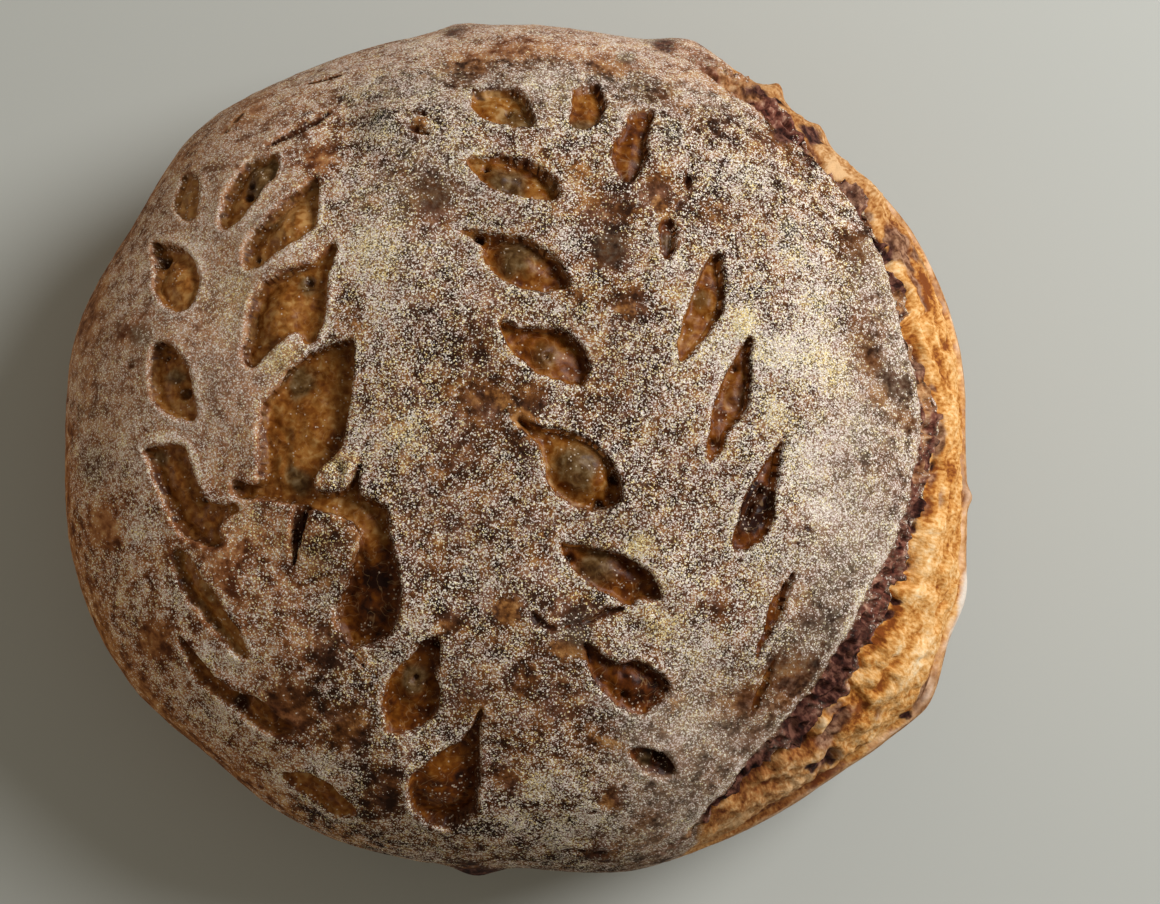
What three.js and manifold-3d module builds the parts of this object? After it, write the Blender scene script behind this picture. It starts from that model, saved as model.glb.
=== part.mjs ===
// Round sourdough loaf, scored with two ears of wheat and burst open along one side.
// Millimetres, +Z up, origin under the middle of the loaf, at its flat base.
// Seen from above, +X is the burst side and +Y is where the ears of wheat point.

import * as THREE from 'three';
import loadManifold from 'manifold-3d';

// ---------------------------------------------------------------- driving sizes

const LOAF_HEIGHT = 95;
const WAIST_HEIGHT = 36; // height of the widest ring
const CROWN_EXPONENT = 2.3; // 2 is an ellipse, more is squarer in the shoulder
const FOOT_INSET = 21; // how far the flat base lies inside the widest ring

// Widest ring: its radius at equal steps of angle, anticlockwise from +X.
const WAIST_RADII = [
  119.5, 121, 121.8, 118.3, 118.2, 115, 114.6, 115, 117.2, 121.5, 119.2, 121.7,
  120.3, 121.2, 119.4, 114.3, 113.5, 111, 109.5, 114, 116.5, 120, 125, 122.5,
];

// Horns, nubs and blisters that stand out of the side: angle, height, how far out, and how wide
// they are in degrees and in height.
const RIM_BUMPS = [
  { angle: 55, height: 42, out: 4, spread: 1.8, tall: 7 },
  { angle: 47.5, height: 42, out: 3, spread: 2, tall: 6 },
  { angle: 68, height: 46, out: 3.2, spread: 4.5, tall: 9 },
  { angle: 98, height: 40, out: 2.2, spread: 4, tall: 8 },
  { angle: 264, height: 34, out: 2.8, spread: 3.2, tall: 8 },
  { angle: 332, height: 36, out: 2.6, spread: 3, tall: 12 },
];

// Torn edge of the top crust over the side burst: radius against angle.
const LIP_LINE = [
  [-78, 101], [-68, 105], [-60, 100.5], [-50, 96], [-38, 94.2], [-27, 93.3], [-15, 96],
  [4, 100.3], [18, 99.6], [32, 103.2], [50, 103.6], [62, 104], [76, 98],
];
const LIP_SHOULDER = 0.86; // share of the widest radius where the lip line would run elsewhere
const LIP_OVERHANG = 2.2;
const LIP_DROP = 7.5; // depth of the crevice under the lip
const CREVICE_UNDERCUT = 0.6;
const BURST_START = -76;
const BURST_END = 72;
const BURST_FADE = 14; // degrees over which each end of the burst dies away
const BURST_EXPONENT = 1.75; // roundness of the torn crumb between crevice and rim
const RIM_STEP = 1.6; // how far the lower crust stands out of the torn crumb

// Swellings of the crust, each a soft bump: place, radius and height.
const SWELLINGS = [
  { x: -35, y: 82, radius: 8, up: 1.6 }, // burst blister
  { x: -47, y: -25, radius: 10, up: 3 }, // floured bubble beside the split leaf
  { x: -60, y: 25, radius: 7, up: 2 },
  { x: -58, y: 52, radius: 6, up: 1.2 },
  { x: 36, y: -36, radius: 5, up: 1.6 },
  { x: 74, y: -26, radius: 9, up: 1.4 },
  { x: -76, y: -34, radius: 8, up: 1.4 },
  { x: 16, y: 46, radius: 14, up: 0.8 },
  { x: 8, y: -60, radius: 16, up: 0.9 },
];

// Leaf cuts. Each runs from one tip to the other, wide at its middle; bow bends it to the left of
// its run, skew above 1 moves the widest place towards its end, blunt below 1 rounds its tips.
const INNER_LEFT_LEAVES = [
  { from: [-67, 73], to: [-47, 85], wide: 2.8, bow: 0, skew: 1, blunt: 0.8, deep: 2 },
  { from: [-76, 51.5], to: [-61, 73], wide: 12, bow: 0, skew: 1, blunt: 0.7, deep: 4 },
  { from: [-70, 40], to: [-49.5, 63.5], wide: 12.5, bow: -1.3, skew: 0.9, blunt: 0.7, deep: 4.5 },
  { from: [-67.5, 16], to: [-45.5, 47], wide: 14.5, bow: 0.5, skew: 0.9, blunt: 0.6, deep: 5 },
  { from: [-42, 23.5], to: [-57, -18], wide: 21, bow: -2.4, skew: 1.1, blunt: 0.55, deep: 6 },
  { from: [-47, -14], to: [-44.5, -53], wide: 15.5, bow: 10, skew: 1.5, blunt: 0.6, deep: 5 },
  { from: [-20, -50], to: [-30.5, -71.5], wide: 14, bow: -1, skew: 1.7, blunt: 0.6, deep: 4.5 },
  { from: [-10.5, -65], to: [-23, -98], wide: 17, bow: 0.5, skew: 1.9, blunt: 0.6, deep: 5 },
];
const OUTER_LEFT_LEAVES = [
  { from: [-86.5, 70], to: [-85.5, 55], wide: 8.4, bow: 1, skew: 1, blunt: 0.6, deep: 2.5 },
  { from: [-92, 51], to: [-82.5, 32.5], wide: 11.5, bow: -1.5, skew: 1, blunt: 0.55, deep: 3.5 },
  { from: [-89.5, 24], to: [-81, 4], wide: 12, bow: -1.2, skew: 1.25, blunt: 0.55, deep: 4 },
  { from: [-94, -0.5], to: [-74.5, -27.5], wide: 12.5, bow: 0, skew: 1.1, blunt: 0.7, deep: 4 },
  { from: [-86.5, -29.5], to: [-70, -54.5], wide: 8.4, bow: 1, skew: 1, blunt: 0.8, deep: 3 },
  { from: [-84.5, -49.5], to: [-55.5, -76], wide: 8, bow: -0.5, skew: 1, blunt: 0.8, deep: 3.5 },
  { from: [-62.5, -81.5], to: [-42.5, -94], wide: 5.5, bow: 1.3, skew: 1, blunt: 0.8, deep: 2.5 },
];
const INNER_RIGHT_LEAVES = [
  { from: [-13, 86.5], to: [3, 81.5], wide: 10.5, bow: 0, skew: 1, blunt: 0.6, deep: 3.5 },
  { from: [-12.5, 69], to: [9.5, 60], wide: 10.2, bow: 0.5, skew: 1.1, blunt: 0.65, deep: 4 },
  { from: [-13.5, 50.5], to: [11, 35], wide: 11, bow: 0.4, skew: 1.2, blunt: 0.65, deep: 4.5 },
  { from: [-4, 26], to: [17, 12.5], wide: 11, bow: 0.7, skew: 1.05, blunt: 0.6, deep: 4.5 },
  { from: [-3.5, 6.5], to: [23.5, -18.5], wide: 17, bow: 0, skew: 1.9, blunt: 0.6, deep: 5 },
  { from: [9.5, -27.5], to: [33, -41], wide: 10.8, bow: 0, skew: 1.25, blunt: 0.6, deep: 4.5 },
  { from: [9.5, -51.5], to: [36, -66], wide: 11.6, bow: 1, skew: 1.9, blunt: 0.6, deep: 4 },
  { from: [20.5, -75], to: [39, -82.5], wide: 5.4, bow: 0, skew: 1.9, blunt: 0.7, deep: 3 },
];
const OUTER_RIGHT_LEAVES = [
  { from: [15, 92], to: [18, 77], wide: 9.3, bow: 0.5, skew: 1.2, blunt: 0.6, deep: 3 },
  { from: [30, 84], to: [25.5, 62.5], wide: 9, bow: 0, skew: 1.3, blunt: 0.6, deep: 3.5 },
  { from: [40.5, 61], to: [34.8, 42.8], wide: 4.6, bow: 0, skew: 1.1, blunt: 0.6, deep: 3 },
  { from: [49.5, 47], to: [39, 17], wide: 9.3, bow: -0.8, skew: 1.1, blunt: 0.65, deep: 4 },
  { from: [56.5, 25], to: [45, -8], wide: 7.8, bow: -0.8, skew: 1.1, blunt: 0.65, deep: 4 },
  { from: [64.5, 0.5], to: [52.5, -30], wide: 9.4, bow: -1, skew: 1.4, blunt: 0.65, deep: 4.5 },
  { from: [67, -33.5], to: [57.5, -54.5], wide: 4.5, bow: -1, skew: 1, blunt: 0.7, deep: 3 },
  { from: [61.5, -57.5], to: [57, -71.5], wide: 2.4, bow: 0, skew: 1, blunt: 0.8, deep: 2 },
];
const LEAF_CUTS = [
  ...INNER_LEFT_LEAVES,
  ...OUTER_LEFT_LEAVES,
  ...INNER_RIGHT_LEAVES,
  ...OUTER_RIGHT_LEAVES,
];

// Splits and holes that go deeper than the leaves round them.
const SPLITS = [
  { from: [-53, -18.5], to: [-55.5, -33.5], wide: 3.2, bow: 0, skew: 1, blunt: 0.7, deep: 7 },
  { from: [59.5, -9], to: [55, -20.5], wide: 4.2, bow: 0, skew: 1, blunt: 0.5, deep: 8 },
  { from: [3.5, -48], to: [26.5, -42], wide: 2.6, bow: -2, skew: 1, blunt: 0.8, deep: 2.5 },
];

// Facets.
const SECTORS = 144;
const CROWN_RINGS = 7;
const BURST_RINGS = 6;
const SIDE_RINGS = 4;
const LEAF_STATIONS = 7;
const CUTTER_RISE = 4; // how far a cutter stands out of the crust
const CRUST_WAVE = 34; // length of the slow swells of the crust
const CRUST_SWELL = 0.9;
const CRAG_WAVE = 13; // length of the crags on the torn crumb
const CRAG_SWELL = 1.5;
const WAVE_DIRECTIONS = 5;

const CRUST_COLOUR = 0x8a6a4c;
const CRUST_ROUGHNESS = 0.85;

// ---------------------------------------------------------------- plain functions

function mix(a, b, share) {
  return a + (b - a) * share;
}

function smoothStep(low, high, value) {
  const share = Math.min(Math.max((value - low) / (high - low), 0), 1);
  return share * share * (3 - 2 * share);
}

function signedDegrees(angle) {
  const turn = THREE.MathUtils.euclideanModulo(THREE.MathUtils.radToDeg(angle) + 180, 360);
  return turn - 180;
}

function catmullRom(before, start, end, after, share) {
  const slopeIn = (end - before) / 2;
  const slopeOut = (after - start) / 2;
  const square = share * share;
  const cube = square * share;
  return (
    (2 * cube - 3 * square + 1) * start
    + (cube - 2 * square + share) * slopeIn
    + (3 * square - 2 * cube) * end
    + (cube - square) * slopeOut
  );
}

// A sum of sine waves in several directions, between about -1 and 1.
function waves(x, y, z, length) {
  let sum = 0;
  for (let i = 0; i < WAVE_DIRECTIONS; i += 1) {
    const heading = i * 2.4 + 0.7;
    const along = x * Math.cos(heading) + y * Math.sin(heading) + 0.8 * z * Math.cos(2 * heading);
    sum += Math.sin((along * 2 * Math.PI) / (length * (0.8 + 0.14 * i)) + 1.7 * i * i);
  }
  return (sum * 1.6) / WAVE_DIRECTIONS;
}

// ---------------------------------------------------------------- form of the crust

function waistRadius(angle) {
  const count = WAIST_RADII.length;
  const place = (THREE.MathUtils.euclideanModulo(angle, 2 * Math.PI) / (2 * Math.PI)) * count;
  const index = Math.floor(place);
  const at = (step) => WAIST_RADII[THREE.MathUtils.euclideanModulo(index + step, count)];
  return catmullRom(at(-1), at(0), at(1), at(2), place - index);
}

// How far the horns, nubs and blisters stand out of the side at one place.
function rimBump(angle, height) {
  let out = 0;
  for (const bump of RIM_BUMPS) {
    const aside = signedDegrees(angle - THREE.MathUtils.degToRad(bump.angle)) / bump.spread;
    const above = (height - bump.height) / bump.tall;
    out += bump.out * Math.exp(-aside * aside - above * above);
  }
  return out;
}

// 1 where the side has burst open, 0 where the crust is whole.
function burstStrength(angle) {
  const degrees = signedDegrees(angle);
  const rise = smoothStep(BURST_START, BURST_START + BURST_FADE, degrees);
  const fall = smoothStep(BURST_END - BURST_FADE, BURST_END, degrees);
  return rise * (1 - fall);
}

function lipRadius(angle) {
  const degrees = signedDegrees(angle);
  const shoulder = LIP_SHOULDER * waistRadius(angle);
  const last = LIP_LINE.length - 1;
  if (degrees <= LIP_LINE[0][0] || degrees >= LIP_LINE[last][0]) {
    return shoulder;
  }
  const index = LIP_LINE.findIndex(([at]) => at > degrees) - 1;
  const [startAngle, startRadius] = LIP_LINE[index];
  const [endAngle, endRadius] = LIP_LINE[index + 1];
  const before = LIP_LINE[Math.max(index - 1, 0)][1];
  const after = LIP_LINE[Math.min(index + 2, last)][1];
  const share = (degrees - startAngle) / (endAngle - startAngle);
  return mix(shoulder, catmullRom(before, startRadius, endRadius, after, share), burstStrength(angle));
}

function swellingHeight(x, y) {
  let height = 0;
  for (const swelling of SWELLINGS) {
    const distance = Math.hypot(x - swelling.x, y - swelling.y) / swelling.radius;
    height += swelling.up * Math.exp(-distance * distance);
  }
  return height;
}

// Height of the crown over a place in plan, as if the side had not burst.
function crownHeight(x, y) {
  const angle = Math.atan2(y, x);
  const share = Math.min(Math.hypot(x, y) / waistRadius(angle), 1);
  const rise = (1 - share ** CROWN_EXPONENT) ** (1 / CROWN_EXPONENT);
  const calm = Math.min(1, 4 * (1 - share));
  const relief = swellingHeight(x, y) + CRUST_SWELL * (waves(x, y, 0, CRUST_WAVE) - 0.6);
  return WAIST_HEIGHT + (LOAF_HEIGHT - WAIST_HEIGHT) * rise + calm * relief;
}

function crownNormal(x, y) {
  const step = 0.5;
  const slopeX = (crownHeight(x + step, y) - crownHeight(x - step, y)) / (2 * step);
  const slopeY = (crownHeight(x, y + step) - crownHeight(x, y - step)) / (2 * step);
  return new THREE.Vector3(-slopeX, -slopeY, 1).normalize();
}

function polarPoint(angle, radius, height) {
  return new THREE.Vector3(radius * Math.cos(angle), radius * Math.sin(angle), height);
}

function crownPoint(angle, radius) {
  const point = polarPoint(angle, radius, 0);
  point.z = crownHeight(point.x, point.y);
  return point;
}

// Rows of the shoulder from the lip to the widest ring: the whole crust blends into the burst.
function shoulderRows(angle) {
  const waist = waistRadius(angle);
  const lip = lipRadius(angle);
  const lipHeight = crownPoint(angle, lip).z;
  const strength = burstStrength(angle);
  const creviceRadius = lip - CREVICE_UNDERCUT;
  const creviceHeight = lipHeight - LIP_DROP;
  const torn = [
    polarPoint(angle, lip + LIP_OVERHANG, lipHeight - 0.35 * LIP_DROP),
    polarPoint(angle, creviceRadius, creviceHeight),
  ];
  for (let row = 1; row < BURST_RINGS; row += 1) {
    const turn = (row / BURST_RINGS) * (Math.PI / 2);
    const outward = Math.sin(turn) ** (2 / BURST_EXPONENT);
    const upward = Math.cos(turn) ** (2 / BURST_EXPONENT);
    const point = polarPoint(
      angle,
      mix(creviceRadius, waist - RIM_STEP, outward),
      mix(WAIST_HEIGHT, creviceHeight, upward),
    );
    const crag = CRAG_SWELL * waves(point.x, point.y, 2 * point.z, CRAG_WAVE);
    point.addScaledVector(polarPoint(angle, 1, 0.6).normalize(), crag);
    torn.push(point);
  }
  return torn.map((point, index) => {
    const share = 1 - (1 - (index + 1) / (torn.length + 1)) ** 2;
    const whole = crownPoint(angle, mix(lip, waist, share));
    return whole.lerp(point, strength);
  });
}

function sideRows(angle) {
  const waist = waistRadius(angle);
  const rows = [polarPoint(angle, waist, WAIST_HEIGHT)];
  for (let row = 1; row <= SIDE_RINGS; row += 1) {
    const turn = (row / SIDE_RINGS) * (Math.PI / 2);
    rows.push(
      polarPoint(
        angle,
        waist - FOOT_INSET * (1 - Math.cos(turn)),
        WAIST_HEIGHT * (1 - Math.sin(turn)),
      ),
    );
  }
  return rows;
}

function profileRows(angle) {
  const crown = [];
  for (let ring = 1; ring <= CROWN_RINGS; ring += 1) {
    crown.push(crownPoint(angle, (lipRadius(angle) * ring) / CROWN_RINGS));
  }
  const outward = polarPoint(angle, 1, 0);
  const side = [...shoulderRows(angle), ...sideRows(angle)];
  for (const point of side) {
    point.addScaledVector(outward, rimBump(angle, point.z));
  }
  return [...crown, ...side];
}

// ---------------------------------------------------------------- closed meshes

function closedMesh(wasm, points, triangles) {
  const mesh = new wasm.Mesh({
    numProp: 3,
    vertProperties: Float32Array.from(points.flatMap((point) => [point.x, point.y, point.z])),
    triVerts: Uint32Array.from(triangles.flat()),
  });
  return new wasm.Manifold(mesh);
}

// Rows of points joined into a skin that closes on one point at each end.
function skinOfRows(wasm, first, rows, last) {
  const width = rows[0].length;
  const points = [first, ...rows.flat(), last];
  const at = (row, step) => 1 + row * width + (step % width);
  const triangles = [];
  for (let step = 0; step < width; step += 1) {
    triangles.push([0, at(0, step), at(0, step + 1)]);
    triangles.push([points.length - 1, at(rows.length - 1, step + 1), at(rows.length - 1, step)]);
    for (let row = 0; row + 1 < rows.length; row += 1) {
      triangles.push([at(row, step), at(row + 1, step), at(row + 1, step + 1)]);
      triangles.push([at(row, step), at(row + 1, step + 1), at(row, step + 1)]);
    }
  }
  return closedMesh(wasm, points, triangles);
}

function crustBody(wasm) {
  const columns = [];
  for (let sector = 0; sector < SECTORS; sector += 1) {
    columns.push(profileRows((sector / SECTORS) * 2 * Math.PI));
  }
  const rows = columns[0].map((_, row) => columns.map((column) => column[row]));
  const top = new THREE.Vector3(0, 0, crownHeight(0, 0));
  return skinOfRows(wasm, top, rows, new THREE.Vector3(0, 0, 0));
}

// A place on the crown, moved along the crown's normal.
function liftedPoint(place, lift) {
  const point = new THREE.Vector3(place.x, place.y, crownHeight(place.x, place.y));
  return point.addScaledVector(crownNormal(place.x, place.y), lift);
}

// The tool that opens one leaf: a bowed boat-shaped body that follows the crown.
function leafCutter(wasm, leaf) {
  const from = new THREE.Vector2(...leaf.from);
  const to = new THREE.Vector2(...leaf.to);
  const run = to.clone().sub(from);
  const left = new THREE.Vector2(-run.y, run.x).normalize();
  const centreAt = (share) => from.clone()
    .addScaledVector(run, share)
    .addScaledVector(left, 4 * leaf.bow * share * (1 - share));
  const rows = [];
  for (let station = 1; station < LEAF_STATIONS; station += 1) {
    const share = station / LEAF_STATIONS;
    const fullness = Math.sin(Math.PI * share ** leaf.skew) ** leaf.blunt;
    const half = (leaf.wide / 2) * fullness;
    const depth = leaf.deep * Math.sqrt(fullness);
    const section = [
      [-half, CUTTER_RISE], [half, CUTTER_RISE], [half, -0.3 * depth], [0.6 * half, -depth],
      [-0.6 * half, -depth], [-half, -0.3 * depth],
    ];
    rows.push(
      section.map(([aside, lift]) => liftedPoint(
        centreAt(share).addScaledVector(left, aside),
        lift,
      )),
    );
  }
  return skinOfRows(wasm, liftedPoint(from, 0), rows, liftedPoint(to, 0));
}

function geometryOf(manifold) {
  const { numProp, vertProperties, triVerts } = manifold.getMesh();
  const geometry = new THREE.BufferGeometry();
  const positions = new THREE.InterleavedBuffer(vertProperties, numProp);
  geometry.setAttribute('position', new THREE.InterleavedBufferAttribute(positions, 3, 0));
  geometry.setIndex(new THREE.BufferAttribute(triVerts, 1));
  geometry.computeVertexNormals();
  return geometry;
}

// ---------------------------------------------------------------- the loaf

async function buildLoaf() {
  const wasm = await loadManifold();
  wasm.setup();
  let body = crustBody(wasm);
  for (const cut of [...LEAF_CUTS, ...SPLITS]) {
    body = body.subtract(leafCutter(wasm, cut));
  }
  const material = new THREE.MeshStandardMaterial({
    color: CRUST_COLOUR,
    roughness: CRUST_ROUGHNESS,
    metalness: 0,
  });
  const loaf = new THREE.Mesh(geometryOf(body), material);
  loaf.name = 'loaf';
  loaf.geometry.computeBoundingBox();
  const middle = loaf.geometry.boundingBox.getCenter(new THREE.Vector3());
  loaf.position.set(-middle.x, -middle.y, 0);
  const group = new THREE.Group();
  group.name = 'sourdough_loaf';
  group.add(loaf);
  return group;
}

export default await buildLoaf();
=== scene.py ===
import math
from collections import namedtuple

import bpy
import numpy as np
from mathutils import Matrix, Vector, geometry


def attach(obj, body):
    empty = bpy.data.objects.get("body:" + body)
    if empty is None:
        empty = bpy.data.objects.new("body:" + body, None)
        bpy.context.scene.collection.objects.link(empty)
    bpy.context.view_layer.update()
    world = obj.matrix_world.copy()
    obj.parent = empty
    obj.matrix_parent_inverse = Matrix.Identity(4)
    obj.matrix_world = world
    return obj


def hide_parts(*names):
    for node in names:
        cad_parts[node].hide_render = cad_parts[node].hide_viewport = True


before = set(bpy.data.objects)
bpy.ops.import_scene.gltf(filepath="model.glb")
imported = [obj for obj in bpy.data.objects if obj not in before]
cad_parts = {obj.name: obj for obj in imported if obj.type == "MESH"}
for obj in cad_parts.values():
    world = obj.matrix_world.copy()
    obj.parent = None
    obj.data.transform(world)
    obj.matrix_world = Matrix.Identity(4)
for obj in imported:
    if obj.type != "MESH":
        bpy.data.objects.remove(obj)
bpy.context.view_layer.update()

MM = 0.001

# ---------------------------------------------------------------- sizes, in millimetres
# The loaf is described in the frame it was drawn in, with its burst side towards +X. The
# middle of its bounding box lies at PLAN_MIDDLE there, and is the origin of the finished part.

LOAF_HEIGHT = 95.0
WAIST_HEIGHT = 36.0
CROWN_EXPONENT = 2.3
FOOT_INSET = 21.0
PLAN_MIDDLE = (-0.7, 2.3)

WAIST_RADII = (
    119.5, 121, 121.8, 118.3, 118.2, 115, 114.6, 115, 117.2, 121.5, 119.2, 121.7,
    120.3, 121.2, 119.4, 114.3, 113.5, 111, 109.5, 114, 116.5, 120, 125, 122.5,
)

# Bumps of the rim, in rows of: angle in degrees, height, how far out, and spread in degrees
# and in height.
RIM_BUMPS = (
    (55, 42, 4, 1.8, 7), (47.5, 42, 3, 2, 6), (68, 46, 3.2, 4.5, 9), (98, 40, 2.2, 4, 8),
    (264, 34, 2.8, 3.2, 8), (342, 37, 2, 4, 12), (328, 36, 3.0, 5, 12), (320, 36, 1, 4, 12),
    (354.5, 38, 1.6, 1.2, 7), (13, 38, 1, 10, 12),
)

# The torn lip over the burst: angle in degrees and radius.
LIP_LINE = (
    (-78, 101), (-68, 105), (-60, 100.5), (-50, 96), (-38, 94.2), (-27, 93.3), (-15, 96),
    (4, 100.3), (18, 99.6), (32, 103.2), (50, 103.6), (62, 104), (76, 98),
)
# The ragged band of torn crust below the lip: angle in degrees and width in plan.
BAND_LINE = (
    (-76, 1), (-67, 1.8), (-60, 2.2), (-53, 4.2), (-50, 4.6), (-47, 8.6), (-43, 7.2), (-38, 8),
    (-34, 7.6), (-31.5, 6.2), (-29.5, 7.2), (-26, 9.5), (-23, 8), (-20.8, 6.6), (-18.5, 8),
    (-14.5, 4.6), (-12.5, 4.2), (-10.5, 5.6), (-7, 4.4), (-4.5, 4.4), (-2, 5.8), (3, 6.6),
    (6.5, 6.2), (9.5, 4.6), (12, 3.4), (14, 2.2), (17.6, 1.8), (18.6, 4.6), (22.5, 3.8),
    (25, 1.6), (26.8, 0.8), (28.6, 4.4), (31, 2.2), (34, 2.6), (35.5, 6), (38, 6.4), (40, 2),
    (43, 1.8), (46, 3), (50, 7), (56, 8), (63, 8), (70, 6), (76, 3),
)
BURST_START, BURST_END, BURST_FADE = -76, 72, 14
BURST_EXPONENT = 1.75
BURST_TAPER = 0.09
LIP_STEP = 2.0
LIP_OUT = 0.8
BAND_SLOPE = 0.8
BAND_LEAST = 0.9
LEDGE_DROP = 2.4
LEDGE_UNDERCUT = 0.4
RIM_EDGE, RIM_LEDGE, RIM_RISE = 0.8, 2.0, 1.1
# The lip's and band's ragged noise is read along a circle of this radius.
RAGGED_RADIUS = 110.0

# Rises and hollows of a surface, in rows of: x, y, radius, height.
SWELLINGS = (
    (-34, 81, 6, 3), (-47, -25, 10, 3), (-60, 25, 7, 2), (-58, 52, 6, 1.2), (36, -36, 5, 1.6),
    (74, -26, 9, 1.4), (-76, -34, 8, 1.4), (16, 46, 14, 0.8), (8, -60, 16, 0.9),
)

# A cut: depth, lightness of its floor from 0 to about 1, heading in degrees of its deep side
# that painted shade darkens (None where all sides are alike), and stops of its outline.
Cut = namedtuple("Cut", "deep tone dark outline")


def crack(deep, tone, start, end, width):
    """A narrow split between two places, widest halfway."""
    (x0, y0), (x1, y1) = start, end
    length = math.hypot(x1 - x0, y1 - y0)
    aside_x, aside_y = (y0 - y1) / length * width / 2, (x1 - x0) / length * width / 2
    middle_x, middle_y = (x0 + x1) / 2, (y0 + y1) / 2
    left = (middle_x + aside_x, middle_y + aside_y)
    right = (middle_x - aside_x, middle_y - aside_y)
    return Cut(deep, tone, None, (start, left, end, right))


LEFT_EAR = (
    # inner row, from the tip down
    Cut(3.2, 0, None, (
        (-66.5, 73.2), (-60, 78), (-53.5, 82), (-47.2, 84.4), (-52, 79.4), (-59, 75.6),
    )),
    Cut(3.5, 0.85, 150, (
        (-66.7, 71.5), (-61.5, 71.5), (-61.2, 66), (-65, 61), (-71, 54), (-74.5, 51.8), (-76, 55),
        (-74.2, 63), (-70, 69.5),
    )),
    Cut(4, 0.9, 135, (
        (-51.2, 64.8), (-50.2, 58), (-51.8, 51), (-58.8, 46.2), (-66.5, 40.8), (-69.6, 42.5),
        (-68, 49.5), (-62, 56.5), (-55, 62.8),
    )),
    Cut(4.5, 0.7, 150, (
        (-46.6, 48.4), (-45.6, 45.5), (-47.6, 38), (-47.6, 31), (-49.8, 23.4), (-52.5, 21.7),
        (-54.6, 24.5), (-59, 22), (-65.5, 16), (-68.2, 18.5), (-68, 27), (-65.5, 36), (-60, 39.7),
        (-52, 43),
    )),
    Cut(5.5, 0.7, None, (
        (-40.6, 22.8), (-40.8, 14), (-42.3, 3), (-43.5, -3.5), (-49, -9.8), (-49.8, -13.5),
        (-43, -13.8), (-40.3, -9.3), (-36.8, -1), (-39, -10.5), (-38.5, -14.6), (-32.5, -18.3),
        (-31.3, -25), (-28.8, -36), (-30.2, -46.5), (-34, -50.6), (-40.3, -52.3), (-44, -49),
        (-45.5, -42), (-42.4, -35), (-39.3, -27.5), (-40.5, -22), (-47, -19.9), (-56, -18.2),
        (-64, -16.6), (-70, -15.5), (-70.5, -11.2), (-64.9, -12), (-64, -5), (-64.2, 3.3),
        (-61.5, 10), (-56, 16.2), (-50.3, 20.3), (-44, 22.3),
    )),
    Cut(6, 0, None, ((-55.6, -18.6), (-51.3, -18.8), (-52.6, -24.5), (-55.3, -33.5), (-56, -29))),
    Cut(4, 0.45, 20, (
        (-29.8, -56), (-33.4, -62), (-33.7, -69.2), (-31, -73.5), (-25.2, -71.8), (-20.3, -68.5),
        (-19.2, -63), (-20.4, -59), (-19.2, -55), (-19.9, -50), (-24, -50.6), (-27, -54.3),
    )),
    Cut(5, 0.45, -30, (
        (-9.4, -66.8), (-10.1, -75), (-10.1, -86), (-11.4, -94), (-18.2, -97.3), (-24.7, -94.4),
        (-28, -88.8), (-26.4, -82.6), (-19, -77.2), (-13.6, -73.5), (-11, -69),
    )),
    # outer row
    Cut(1.6, 1.1, None, (
        (-86.5, 69.5), (-82.6, 68.3), (-81.9, 62), (-82.5, 55.6), (-86, 56), (-89.2, 61), (-88, 66),
    )),
    Cut(3.2, 0.8, 150, (
        (-94.2, 50.8), (-88, 49.5), (-82, 45.3), (-80.6, 38), (-82.5, 32.2), (-88, 32), (-92.2, 37),
        (-93.4, 44.5),
    )),
    Cut(3.5, 0.7, 120, (
        (-91.3, 23.7), (-86, 22.3), (-81.7, 15), (-80, 4.2), (-86, 4.8), (-91.6, 9.5), (-93, 17),
    )),
    Cut(3.5, 0.5, 215, (
        (-94, -3), (-88.7, -2), (-83, -3), (-80, -9.5), (-76.5, -15.8), (-69.3, -17.3),
        (-69, -19.4), (-73.6, -22.5), (-72.5, -26), (-75, -28), (-80.6, -26), (-85.5, -22.5),
        (-89.5, -13), (-92.4, -6.7),
    )),
    Cut(3, 0.8, 210, (
        (-86.4, -29.3), (-83, -28.2), (-77.5, -35.5), (-73.5, -41), (-67, -52.3), (-68.2, -54.8),
        (-72, -52.2), (-78.5, -44.5), (-84, -37.5),
    )),
    Cut(3.5, 0.42, 45, (
        (-85, -48.5), (-81.3, -52.5), (-77.2, -57), (-72.3, -62), (-66, -64), (-59, -69),
        (-55, -72.5), (-58, -74.5), (-65.5, -71.8), (-74.3, -65.3), (-80.3, -60.5), (-83.5, -54),
    )),
    Cut(2.2, 0.6, 60, (
        (-59.7, -83), (-52, -83.4), (-46, -87.5), (-40.5, -93.5), (-46, -94.4), (-52.5, -90),
        (-58, -86.2),
    )),
)
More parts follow.
